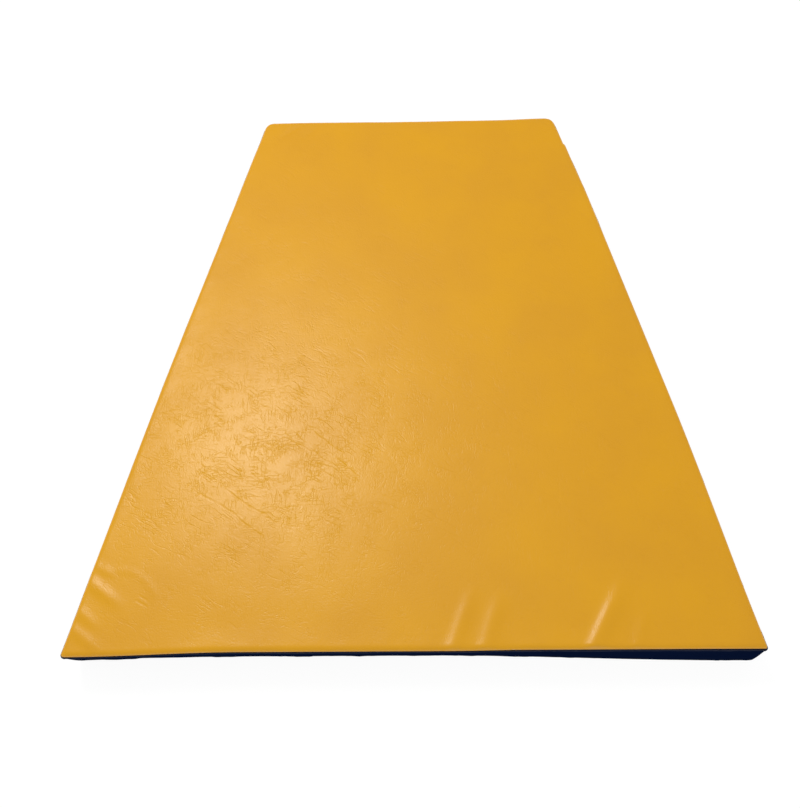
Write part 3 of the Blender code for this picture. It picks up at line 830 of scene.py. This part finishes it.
def sewn(name, centres, outward, material):
    """A row of stitches on a wall: short threads that dip into the cloth at both ends."""
    runs = unit(np.gradient(centres, axis=0))
    outwards = np.concatenate([outward, np.zeros((len(centres), 1))], axis=1)
    rings, sides = 7, 6
    way = np.linspace(-1, 1, rings)
    sink = THREAD * (0.10 - 0.75 * way**4)
    radius = THREAD / 2 * np.sqrt(np.clip(1 - 0.8 * way**6, 0.05, 1))
    angle = np.arange(sides) * 2 * math.pi / sides
    across = np.cross(outwards, runs)
    points, faces = [], []
    for centre, run, outward, side in zip(centres, runs, outwards, across):
        spine = centre + np.outer(way * STITCH_LENGTH / 2, run) + np.outer(sink, outward)
        around = np.outer(np.cos(angle), side) + np.outer(np.sin(angle), outward)
        start = rings * sides * len(points)
        points.append((spine[:, None] + radius[:, None, None] * around).reshape(-1, 3))
        faces += list(start + quads(rings, sides, ring=True))
    piece(name, np.concatenate(points), faces, material)


def zip_hem_stitches(name, low, high, height, material):
    """The seam that holds a hem and its tape, with one stitch after another along the zip."""
    start = ZIP_START * LENGTHS[ZIP_SIDE] + STITCH_PITCH
    end = ZIP_END * LENGTHS[ZIP_SIDE] - STITCH_PITCH
    along = np.linspace(start, end, round((end - start) / STITCH_PITCH))
    surface, outward = wall_surface(zip_plan(along), np.array([height]), low, high)
    sewn(name, surface[0], outward[0], material)


def joint_stitches(name, share, material):
    """The upright seam where the zip panel meets the side band."""
    heights = np.arange(0.010, SEAM_HEIGHT - 0.008, STITCH_PITCH)
    plan = zip_plan(share * LENGTHS[ZIP_SIDE] + np.array([-0.002, 0.0, 0.002]))
    surface, outward = wall_surface(plan, heights, FOOT_SEAM_HEIGHT, WALL_TOP)
    sewn(name, surface[:, 1], outward[:, 1], material)


def row_extent(node):
    """(first, last) of a CAD piece along the zip wall, inwards from it and upwards."""
    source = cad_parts[node]
    points = np.array([source.matrix_world @ vertex.co for vertex in source.data.vertices])
    away = points[:, :2] - CORNERS[ZIP_SIDE]
    axes = (away @ ALONG[ZIP_SIDE], -away @ OUTWARD[ZIP_SIDE], points[:, 2])
    return [(axis.min(), axis.max()) for axis in axes]


RIBBON_STEP = 0.0025
RIBBON_ROWS = 7
RIBBON_WAVE = 0.00012


def ribbon(name, node, along, heights, depths, material, seed):
    """A flat strip of cloth behind the zip wall, a little wavy along its length."""
    steps = np.arange(along[0], along[1], RIBBON_STEP)
    low, high = heights
    up = np.linspace(low, high, RIBBON_ROWS)
    depth, half = sum(depths) / 2, (depths[1] - depths[0]) / 2
    section = [(height, -half) for height in up] + [(height, half) for height in up[::-1]]
    wave = RIBBON_WAVE * Lattice(seed, 0.012).noise(np.stack([steps, 0 * steps], axis=-1))
    rows = []
    for height, inwards in section:
        plan = zip_plan(steps) - OUTWARD[ZIP_SIDE] * (depth + inwards + wave)[:, None]
        rows.append(np.concatenate([plan, np.full((len(steps), 1), height)], axis=1))
    points = np.stack(rows, axis=1)
    count, total = len(section), len(steps) * len(section)
    faces = [*quads(*points.shape[:2], ring=True), range(count), range(total - 1, total - 1 - count, -1)]
    strip = piece(name, points.reshape(-1, 3), faces, material)
    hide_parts(node)


def zip_tapes(material):
    """The woven tapes. Each runs on under its row of teeth, to a slit that the slider's neck moves in."""
    for half, way in (("upper", 1), ("lower", -1)):
        node = f"zip_tape_{half}"
        along, depth, height = row_extent(node)
        far = height[1] if way > 0 else height[0]
        heights = sorted((ZIP_HEIGHT + way * TAPE_SLIT, far))
        ribbon(f"tape_{half}", node, along, heights, depth, material, 61)


def end_tabs(material):
    """The vinyl patches that close the wall behind both ends of the zip."""
    for end in ("wide", "narrow"):
        node = f"zip_end_tab_{end}"
        along, depth, height = row_extent(node)
        ribbon(f"tab_{end}", node, along, height, depth, material, 62)


def softened(name, node, edge, material, body):
    """A hard piece with its edges rounded off as casting and moulding leave them."""
    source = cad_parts[node]
    work = bmesh.new()
    work.from_mesh(source.data)
    work.transform(source.matrix_world)
    bmesh.ops.remove_doubles(work, verts=work.verts, dist=1e-6)
    bmesh.ops.dissolve_limit(work, angle_limit=math.radians(1), verts=work.verts, edges=work.edges)
    mesh = bpy.data.meshes.new(name)
    work.to_mesh(mesh)
    work.free()
    mesh.shade_smooth()
    mesh.materials.append(material)
    obj = in_scene(name, mesh)
    bevel = obj.modifiers.new("rounded_edges", "BEVEL")
    bevel.width = edge
    bevel.segments = 2
    bevel.limit_method = "ANGLE"
    bevel.angle_limit = math.radians(38)
    bevel.harden_normals = True
    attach(obj, body)
    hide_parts(node)


# Materials


def start_material(name):
    """A new material, its node tree and shader, and the object coordinates that its patterns follow."""
    material = bpy.data.materials.new(name)
    material.use_nodes = True
    tree = material.node_tree
    place = add_node(tree, "TexCoord").outputs["Object"]
    return material, tree, tree.nodes["Principled BSDF"], place


def weighted_sum(tree, total, parts):
    """A starting total plus patterns, each times its weight."""
    for pattern, weight in parts:
        total = add_node(tree, "Math", {0: pattern, 1: weight, 2: total}, operation="MULTIPLY_ADD")
    return total


# Middle and half-widths of the area of the top panel that is most crushed
CRUSHED = ((-0.225, -0.190), (0.40, 0.33))
# How crushed it is at that middle, and outside the area
CRUSHED_MOST = 1.2
CRUSHED_LEAST = 0.34
# Thin creases of the crushed grain: direction in degrees, length over width, spacing, half-width as a share
# of the noise, size of the patches where they show, and the noise between which a patch comes in
CREASES = (
    (-32, 4.5, 0.0120, 0.040, 0.040, 0.46, 0.66),
    (3, 4.2, 0.0055, 0.055, 0.026, 0.42, 0.60),
    (-87, 3.8, 0.0060, 0.050, 0.028, 0.44, 0.62),
)
CREASE_WEIGHTS = (-0.75, -0.50, -0.58)
# Painted shade: share of the darker colour put into the first two kinds of crease
PAINTED_CREASE_SHADE = (0.10, 0.06)
# Soft wrinkles between the creases: direction in degrees, length over width and spacing
WRINKLES = ((4, 2.2, 0.0040), (-86, 2.5, 0.0042), (-36, 2.0, 0.0080))
WRINKLE_WEIGHTS = (0.35, 0.40, 0.15)
# Level that takes out the mean of creases and wrinkles, so that their patches neither rise nor sink
GRAIN_LEVEL = -0.15
# Plates between the creases that lie flatter, and the embossed pebble grain
PLATE_SIZE = 0.040
PEBBLE_SIZE = 0.0023
PEBBLE_WEIGHT = 0.5
# Creases wander off their course by up to half of this, over this distance
WANDER = 0.007
WANDER_OVER = 0.030
# Creases pressed into the top panel by folding the cover: depth, as a share of the deepest, and line
PRESSED = (
    (0.8, ((-0.2821, -0.2536), (-0.2530, -0.2783), (-0.2355, -0.2865), (-0.2150, -0.2963))),
    (0.5, ((-0.3365, -0.2530), (-0.2955, -0.2762), (-0.2632, -0.2942))),
    (-0.8, ((-0.2632, -0.2942), (-0.2388, -0.3143), (-0.2204, -0.3278))),
    (0.8, ((-0.1528, -0.1551), (-0.1331, -0.1693), (-0.1184, -0.1841), (-0.1024, -0.1929))),
    (0.7, ((-0.1139, -0.2012), (-0.0939, -0.2158), (-0.0780, -0.2327))),
    (0.5, ((-0.1918, -0.1686), (-0.1578, -0.1837))),
    (0.5, ((-0.4032, -0.4221), (-0.3817, -0.4344))),
    (0.4, ((-0.4010, -0.4145), (-0.3790, -0.4285))),
)
PRESSED_HALF_WIDTH = 0.0030
PRESSED_OVERLAP = 0.68
PRESSED_WEIGHT = 1.4
MOTTLE_SIZE = 0.11
MOTTLE_SHARE = 0.30
UNEVEN_GLOSS = 0.04
COAT_ROUGHNESS = 0.22


def drawn_out(tree, place, turn, stretch, cell, detail):
    """Noise whose features are a cell wide and longer along one direction."""
    turned = {"Vector": place, "Rotation": (0, 0, math.radians(turn)), "Scale": (stretch, 1.0, 1.0)}
    laid = add_node(tree, "Mapping", turned, vector_type="TEXTURE")
    return add_node(tree, "TexNoise", {"Vector": laid, "Scale": 1 / cell, "Detail": detail})


def thin_creases(tree, place, turn, stretch, cell, width, patch, low, high):
    """Thin valleys along the lines where a drawn-out noise passes its middle, shown in patches."""
    wave = drawn_out(tree, place, turn, stretch, cell, 1.5)
    away = add_node(tree, "Math", {0: wave, 1: 0.5}, operation="SUBTRACT")
    away = add_node(tree, "Math", {0: away}, operation="ABSOLUTE")
    fading = {"Value": away, "From Max": width, "To Min": 1.0, "To Max": 0.0}
    valley = add_node(tree, "MapRange", fading, interpolation_type="SMOOTHERSTEP")
    spots = add_node(tree, "TexNoise", {"Vector": place, "Scale": 1 / patch, "Detail": 2.0})
    shown = add_node(tree, "MapRange", {"Value": spots, "From Min": low, "From Max": high})
    return add_node(tree, "Math", {0: valley, 1: shown}, operation="MULTIPLY")


def crushing(tree, place, bent, most_crushed):
    """How crushed the surface is: less on the plates, and most round the middle of the area given."""
    plates = add_node(tree, "TexNoise", {"Vector": bent, "Scale": 1 / PLATE_SIZE, "Detail": 2.0})
    flatter = {"Value": plates, "From Min": 0.40, "From Max": 0.60, "To Min": 0.85}
    loose = add_node(tree, "MapRange", flatter)
    if not most_crushed:
        return loose
    middle, reach = most_crushed
    centred = {
        "Vector": place,
        "Location": (-middle[0] / reach[0], -middle[1] / reach[1], 0),
        "Scale": (1 / reach[0], 1 / reach[1], 0),
    }
    away = add_node(tree, "Mapping", centred)
    away = add_node(tree, "VectorMath", {0: away}, operation="LENGTH")
    fading = {"Value": away, "From Max": 1.0, "To Min": CRUSHED_MOST, "To Max": CRUSHED_LEAST}
    used = add_node(tree, "MapRange", fading, interpolation_type="SMOOTHSTEP")
    return add_node(tree, "Math", {0: loose, 1: used}, operation="MULTIPLY")


def pressed_line(tree, bent, line):
    """A groove along a line of points on the top panel: 1 at its middle and 0 past its half-width."""
    groove = 0.0
    for start, end in zip(line, line[1:]):
        run = (end[0] - start[0], end[1] - start[1])
        middle = [(a + b) / 2 + WANDER / 2 for a, b in zip(start, end)]
        laid = {
            "Vector": bent,
            "Location": (*middle, TOP + WANDER / 2),
            "Rotation": (0, 0, math.atan2(run[1], run[0])),
            "Scale": (math.hypot(*run) * PRESSED_OVERLAP, PRESSED_HALF_WIDTH, 1.0),
        }
        away = add_node(tree, "Mapping", laid, vector_type="TEXTURE")
        away = add_node(tree, "VectorMath", {0: away}, operation="LENGTH")
        fading = {"Value": away, "From Max": 1.0, "To Min": 1.0, "To Max": 0.0}
        share = add_node(tree, "MapRange", fading, interpolation_type="SMOOTHSTEP")
        groove = add_node(tree, "Math", {0: groove, 1: share}, operation="MAXIMUM")
    return groove


def vinyl(
    name, colour, shade, roughness, crease, specular, glancing=None, lacquer=0.0, most_crushed=None, pressed=()
):
    """Calendered PVC on a woven backing, embossed with a crushed-leather grain.

    glancing is the specular level at a glancing angle, where embossing can break up the shine.
    lacquer is how much of the surface still has its glossy top coat.
    most_crushed is the middle and the half-widths of the area where use has crushed it most.
    pressed lists the creases that folding has pressed in.
    """
    material, tree, shader, place = start_material(name)
    wander = add_node(tree, "TexNoise", {"Vector": place, "Scale": 1 / WANDER_OVER, "Detail": 2.0})
    moved = {0: wander.outputs["Color"], 1: (WANDER, WANDER, WANDER)}
    moved = add_node(tree, "VectorMath", moved, operation="MULTIPLY")
    bent = add_node(tree, "VectorMath", {0: place, 1: moved}, operation="ADD")
    creases = [thin_creases(tree, bent, *kind) for kind in CREASES]
    wrinkles = [drawn_out(tree, bent, *kind, 2.0) for kind in WRINKLES]
    grain = weighted_sum(tree, GRAIN_LEVEL, zip(creases + wrinkles, CREASE_WEIGHTS + WRINKLE_WEIGHTS))
    crushed = crushing(tree, place, bent, most_crushed)
    height = add_node(tree, "Math", {0: grain, 1: crushed}, operation="MULTIPLY")
    pebble = add_node(tree, "TexNoise", {"Vector": place, "Scale": 1 / PEBBLE_SIZE, "Detail": 2.0})
    grooves = [(pressed_line(tree, bent, line), -PRESSED_WEIGHT * depth) for depth, line in pressed]
    height = weighted_sum(tree, height, [(pebble, PEBBLE_WEIGHT), *grooves])
    bump = add_node(tree, "Bump", {"Height": height, "Distance": crease})

    mottle = add_node(tree, "TexNoise", {"Vector": place, "Scale": 1 / MOTTLE_SIZE, "Detail": 3.0})
    cloud = add_node(tree, "MapRange", {"Value": mottle, "From Min": 0.35, "From Max": 0.65})
    # Painted shade darkens the creases in colour, and the cloud adds the vinyl's own random mottle of tone
    crease_shade_and_mottle = weighted_sum(tree, 0.0, [*zip(creases, PAINTED_CREASE_SHADE), (cloud, MOTTLE_SHARE)])
    tint = {"Factor": crease_shade_and_mottle, "A": linear(colour), "B": linear(shade)}
    duller, glossier = roughness + UNEVEN_GLOSS, roughness - UNEVEN_GLOSS
    dull = {"Value": mottle, "From Min": 0.3, "From Max": 0.7, "To Min": glossier, "To Max": duller}
    surface = {
        "Base Color": add_node(tree, "Mix", tint, data_type="RGBA"),
        "Roughness": add_node(tree, "MapRange", dull),
        "Specular IOR Level": specular,
        "Normal": bump,
        "Coat Normal": bump,
        "Coat Weight": lacquer,
        "Coat Roughness": COAT_ROUGHNESS,
    }
    if glancing is not None:
        facing = add_node(tree, "LayerWeight", {"Blend": 0.5}).outputs["Facing"]
        shine = {"Value": facing, "From Min": 0.20, "From Max": 0.52, "To Min": specular, "To Max": glancing}
        surface["Specular IOR Level"] = add_node(tree, "MapRange", shine)
    feed(tree, shader, surface)
    return material


def polyester(name, colour, pitch, roughness):
    """Polyester yarn: fine ribs across its run, with a painted highlight, a lighter colour, on the top of
    each.
    """
    material, tree, shader, place = start_material(name)
    slope = math.atan2(ALONG[ZIP_SIDE][1], ALONG[ZIP_SIDE][0])
    laid = add_node(tree, "Mapping", {"Vector": place, "Rotation": (0, 0, -slope)})
    ribs = {"Vector": laid, "Scale": 1 / pitch / math.pi / 2, "Distortion": 0.6, "Detail": 1.0}
    bands = [add_node(tree, "TexWave", ribs, wave_type="BANDS", bands_direction=axis) for axis in "XZ"]
    both = {0: bands[0].outputs["Fac"], 1: bands[1].outputs["Fac"]}
    weave = add_node(tree, "Math", both, operation="MULTIPLY")
    dark = linear(colour)
    # Painted highlight: the tops of the ribs are coloured about twice as light as the yarn
    tint = {"Factor": weave, "A": dark, "B": (*(min(1.0, c * 2.2 + 0.003) for c in dark[:3]), 1.0)}
    surface = {
        "Base Color": add_node(tree, "Mix", tint, data_type="RGBA"),
        "Roughness": roughness,
        "Sheen Weight": 0.15,
        "Normal": add_node(tree, "Bump", {"Height": weave, "Distance": pitch / 4}),
    }
    feed(tree, shader, surface)
    return material


def foam(name, colour, cell):
    """Cut foam: a matt surface pitted with small open cells, with painted shade darkening each pit."""
    material, tree, shader, place = start_material(name)
    pits = add_node(tree, "TexVoronoi", {"Vector": place, "Scale": 1 / cell}, feature="F1")
    light = linear(colour)
    # Painted shade: the colour darkens towards the bottom of each pit
    tint = {"Factor": pits, "A": (*(c * 0.75 for c in light[:3]), 1.0), "B": light}
    surface = {
        "Base Color": add_node(tree, "Mix", tint, data_type="RGBA"),
        "Roughness": 0.9,
        "Normal": add_node(tree, "Bump", {"Height": pits, "Distance": cell / 2}),
    }
    feed(tree, shader, surface)
    return material


def moulded_acetal():
    """Injection-moulded acetal: smooth dark plastic with a faint flow texture."""
    material, tree, shader, place = start_material("moulded_acetal")
    flow = add_node(tree, "TexNoise", {"Vector": place, "Scale": 1 / 0.0012, "Detail": 2.0})
    tint = {"Factor": flow, "A": linear("#0F1118"), "B": linear("#151927")}
    surface = {
        "Base Color": add_node(tree, "Mix", tint, data_type="RGBA"),
        "Roughness": add_node(tree, "MapRange", {"Value": flow, "To Min": 0.28, "To Max": 0.48}),
        "Normal": add_node(tree, "Bump", {"Height": flow, "Distance": 0.00003}),
    }
    feed(tree, shader, surface)
    return material


def nickel_plated_zinc():
    """Zinc die casting under nickel: bright metal, hazed and finely scratched by use."""
    material, tree, shader, place = start_material("nickel_plated_zinc")
    drawn = add_node(tree, "Mapping", {"Vector": place, "Scale": (1.0, 1.0, 9.0)})
    scratches = add_node(tree, "TexNoise", {"Vector": drawn, "Scale": 1 / 0.0016, "Detail": 5.0})
    haze = add_node(tree, "TexNoise", {"Vector": place, "Scale": 1 / 0.004, "Detail": 3.0})
    tint = {"Factor": haze, "A": linear("#BAB7B0"), "B": linear("#94928D")}
    surface = {
        "Base Color": add_node(tree, "Mix", tint, data_type="RGBA"),
        "Metallic": 1.0,
        "Roughness": add_node(tree, "MapRange", {"Value": haze, "To Min": 0.20, "To Max": 0.34}),
        "Normal": add_node(tree, "Bump", {"Height": scratches, "Distance": 0.00004}),
    }
    feed(tree, shader, surface)
    return material


# Stage


FLOOR_COLOUR = "#F4F4F4"
FLOOR_GLOW = 0.88
FLOOR_BRIGHTNESS = 1.05
FLOOR_HALF = 20.0
FLOOR_BELOW = 0.0003
WHITE = (1.0, 1.0, 1.0, 1.0)


def studio_floor():
    """A plain white floor that looks white to the camera and keeps a faint shadow."""
    material = bpy.data.materials.new("studio_floor")
    material.use_nodes = True
    tree = material.node_tree
    tree.nodes.clear()
    path = add_node(tree, "LightPath").outputs
    seen = {0: path["Is Camera Ray"], 1: path["Is Glossy Ray"]}
    seen = add_node(tree, "Math", seen, operation="ADD")
    seen = add_node(tree, "Math", {0: seen, 1: path["Is Transmission Ray"]}, operation="MAXIMUM")
    share = add_node(tree, "Math", {0: seen, 1: FLOOR_GLOW}, operation="MULTIPLY", use_clamp=True)
    paint = add_node(tree, "BsdfDiffuse", {"Color": linear(FLOOR_COLOUR)})
    glow = add_node(tree, "Emission", {"Color": WHITE, "Strength": FLOOR_BRIGHTNESS})
    mixed = add_node(tree, "MixShader", {0: share, 1: paint, 2: glow})
    add_node(tree, "OutputMaterial", {"Surface": mixed})
    mesh = bpy.data.meshes.new("floor")
    corners = [(x * FLOOR_HALF, y * FLOOR_HALF, 0) for x, y in ((-1, -1), (1, -1), (1, 1), (-1, 1))]
    mesh.from_pydata(corners, [], [(0, 1, 2, 3)])
    mesh.materials.append(material)
    floor = in_scene("floor", mesh)
    floor.location.z = -FLOOR_BELOW


AMBIENT = 0.718
CEILING_IN_GLOSS = 0.03
# Heights of a ray's direction between which the mirrored backdrop darkens to the ceiling
CEILING_FADES = (0.05, 0.50)


def studio_world():
    """Even light all round. Rays that are seen or mirrored find a white backdrop under a dimmer ceiling."""
    world = bpy.data.worlds.new("studio")
    bpy.context.scene.world = world
    world.use_nodes = True
    tree = world.node_tree
    tree.nodes.clear()
    path = add_node(tree, "LightPath").outputs
    direction = add_node(tree, "TexCoord").outputs["Generated"]
    up = add_node(tree, "SeparateXYZ", {0: direction}).outputs["Z"]
    low, high = CEILING_FADES
    ceiling = {"Value": up, "From Min": low, "From Max": high, "To Min": 1.0, "To Max": CEILING_IN_GLOSS}
    ceiling = add_node(tree, "MapRange", ceiling, interpolation_type="SMOOTHSTEP")
    mirrored = {0: path["Is Glossy Ray"], 1: path["Is Transmission Ray"]}
    mirrored = add_node(tree, "Math", mirrored, operation="MAXIMUM")
    level = add_node(tree, "Mix", {"Factor": mirrored, "A": AMBIENT, "B": ceiling}, data_type="FLOAT")
    level = {"Factor": path["Is Camera Ray"], "A": level, "B": 1.0}
    level = add_node(tree, "Mix", level, data_type="FLOAT")
    glow = add_node(tree, "Background", {"Color": WHITE, "Strength": level})
    add_node(tree, "OutputWorld", {"Surface": glow})


# Middle of the haze that the lamp leaves on the mat
HAZE_ON_MAT = Vector((-0.242, -0.183, TOP))
KEY_DISTANCE = 3.0
KEY_SIZE = 0.8
KEY_POWER = 33.0
KEY_COLOUR = (1.0, 1.0, 0.91)


def key_lamp():
    """A round soft lamp, placed where the vinyl mirrors it as a haze over the left half of the mat."""
    ray = (HAZE_ON_MAT - CAMERA_PLACE).normalized()
    direction = Vector((ray.x, ray.y, -ray.z))
    light = bpy.data.lights.new("key_lamp", "AREA")
    light.shape = "DISK"
    light.size = KEY_SIZE
    light.energy = KEY_POWER
    light.color = KEY_COLOUR
    lamp = in_scene("key_lamp", light)
    lamp.location = HAZE_ON_MAT + direction * KEY_DISTANCE
    lamp.rotation_euler = direction.to_track_quat("Z", "Y").to_euler()


def camera():
    """The photograph's view: a hand-held camera over the wide end, looking down."""
    ahead = Vector((math.sin(CAMERA_TURN), math.cos(CAMERA_TURN), 0))
    forward = ahead * math.cos(CAMERA_DOWN) - Vector((0, 0, math.sin(CAMERA_DOWN)))
    level = Vector((math.cos(CAMERA_TURN), -math.sin(CAMERA_TURN), 0))
    above = level.cross(forward)
    right = level * math.cos(CAMERA_ROLL) + above * math.sin(CAMERA_ROLL)
    up = above * math.cos(CAMERA_ROLL) - level * math.sin(CAMERA_ROLL)
    data = bpy.data.cameras.new("camera")
    data.sensor_fit = "HORIZONTAL"
    data.sensor_width = SENSOR_MM
    data.lens = FOCAL_PIXELS / PICTURE_WIDTH * SENSOR_MM
    data.dof.use_dof = False
    obj = in_scene("camera", data)
    obj.matrix_world = Matrix((right, up, -forward)).transposed().to_4x4()
    obj.location = CAMERA_PLACE
    bpy.context.scene.camera = obj


# The whole mat


GAP_BETWEEN_LAYERS = 0.0004
UPRIGHT_STITCHES_OUT = 0.004
# Widths of the edges that moulding and casting leave rounded
MOULDED_EDGE = 0.00015
CAST_EDGE = 0.0003


def build():
    camera()
    studio_floor()
    studio_world()
    key_lamp()
    yellow = vinyl(
        "embossed_pvc_ochre",
        "#E1A106",
        "#D39104",
        roughness=0.42,
        crease=0.00030,
        specular=0.35,
        lacquer=0.21,
        most_crushed=CRUSHED,
        pressed=PRESSED,
    )
    navy = vinyl(
        "embossed_pvc_navy",
        "#0A1633",
        "#070E25",
        roughness=0.46,
        crease=0.00034,
        specular=0.26,
        glancing=0.0,
    )
    top_skin(yellow)
    bottom_skin(navy)
    band = (
        (ZIP_SIDE, ZIP_END, 1.0),
        (BACK, 0.0, 1.0),
        (LEFT, 0.0, 1.0),
        (FRONT, 0.0, 1.0),
        (ZIP_SIDE, 0.0, ZIP_START),
    )
    wall("wall_band", band, FOOT_SEAM_HEIGHT, WALL_TOP, "side_band", navy)
    zip_run = ((ZIP_SIDE, ZIP_START, ZIP_END),)
    wall("zip_wall_upper", zip_run, ZIP_HIGH, WALL_TOP, "zip_strip_upper", navy, (True, False))
    wall("zip_wall_lower", zip_run, FOOT_SEAM_HEIGHT, ZIP_LOW, "zip_strip_lower", navy, (False, True))
    thread = polyester("polyester_thread", "#1C2A55", pitch=0.00045, roughness=0.55)
    zip_hem_stitches("zip_stitches_upper", ZIP_HIGH, WALL_TOP, ZIP_HIGH + STITCH_FROM_EDGE, thread)
    zip_hem_stitches("zip_stitches_lower", FOOT_SEAM_HEIGHT, ZIP_LOW, ZIP_LOW - STITCH_FROM_EDGE, thread)
    out = UPRIGHT_STITCHES_OUT / LENGTHS[ZIP_SIDE]
    joint_stitches("joint_stitches_wide", ZIP_START - out, thread)
    joint_stitches("joint_stitches_narrow", ZIP_END + out, thread)
    zip_tapes(polyester("woven_polyester_tape", "#0B0F1E", pitch=0.0006, roughness=0.70))
    end_tabs(navy)
    soft = foam("open_cell_pu_foam", "#E4E2D3", cell=0.0016)
    firm = foam("closed_cell_pe_foam", "#C1C5CA", cell=0.0007)
    half_gap = GAP_BETWEEN_LAYERS / 2
    foam_block("foam_base", FOAM_FOOT, LAYER_SPLIT - half_gap, "core_base", soft)
    foam_block("foam_top", LAYER_SPLIT + half_gap, FOAM_TOP, "core_top", firm)
    acetal = moulded_acetal()
    zinc = nickel_plated_zinc()
    for half in ("upper", "lower"):
        softened(f"teeth_{half}", f"zip_teeth_{half}", MOULDED_EDGE, acetal, "mat")
        softened(f"top_stop_{half}", f"zip_top_stop_{half}", CAST_EDGE, zinc, "mat")
    softened("bottom_stop", "zip_bottom_stop", CAST_EDGE, zinc, "mat")
    softened("slider_body", "zip_slider", CAST_EDGE, zinc, "slider")
    softened("pull_tab", "zip_pull", CAST_EDGE, zinc, "pull")
    bpy.context.scene.view_settings.view_transform = "Standard"


build()
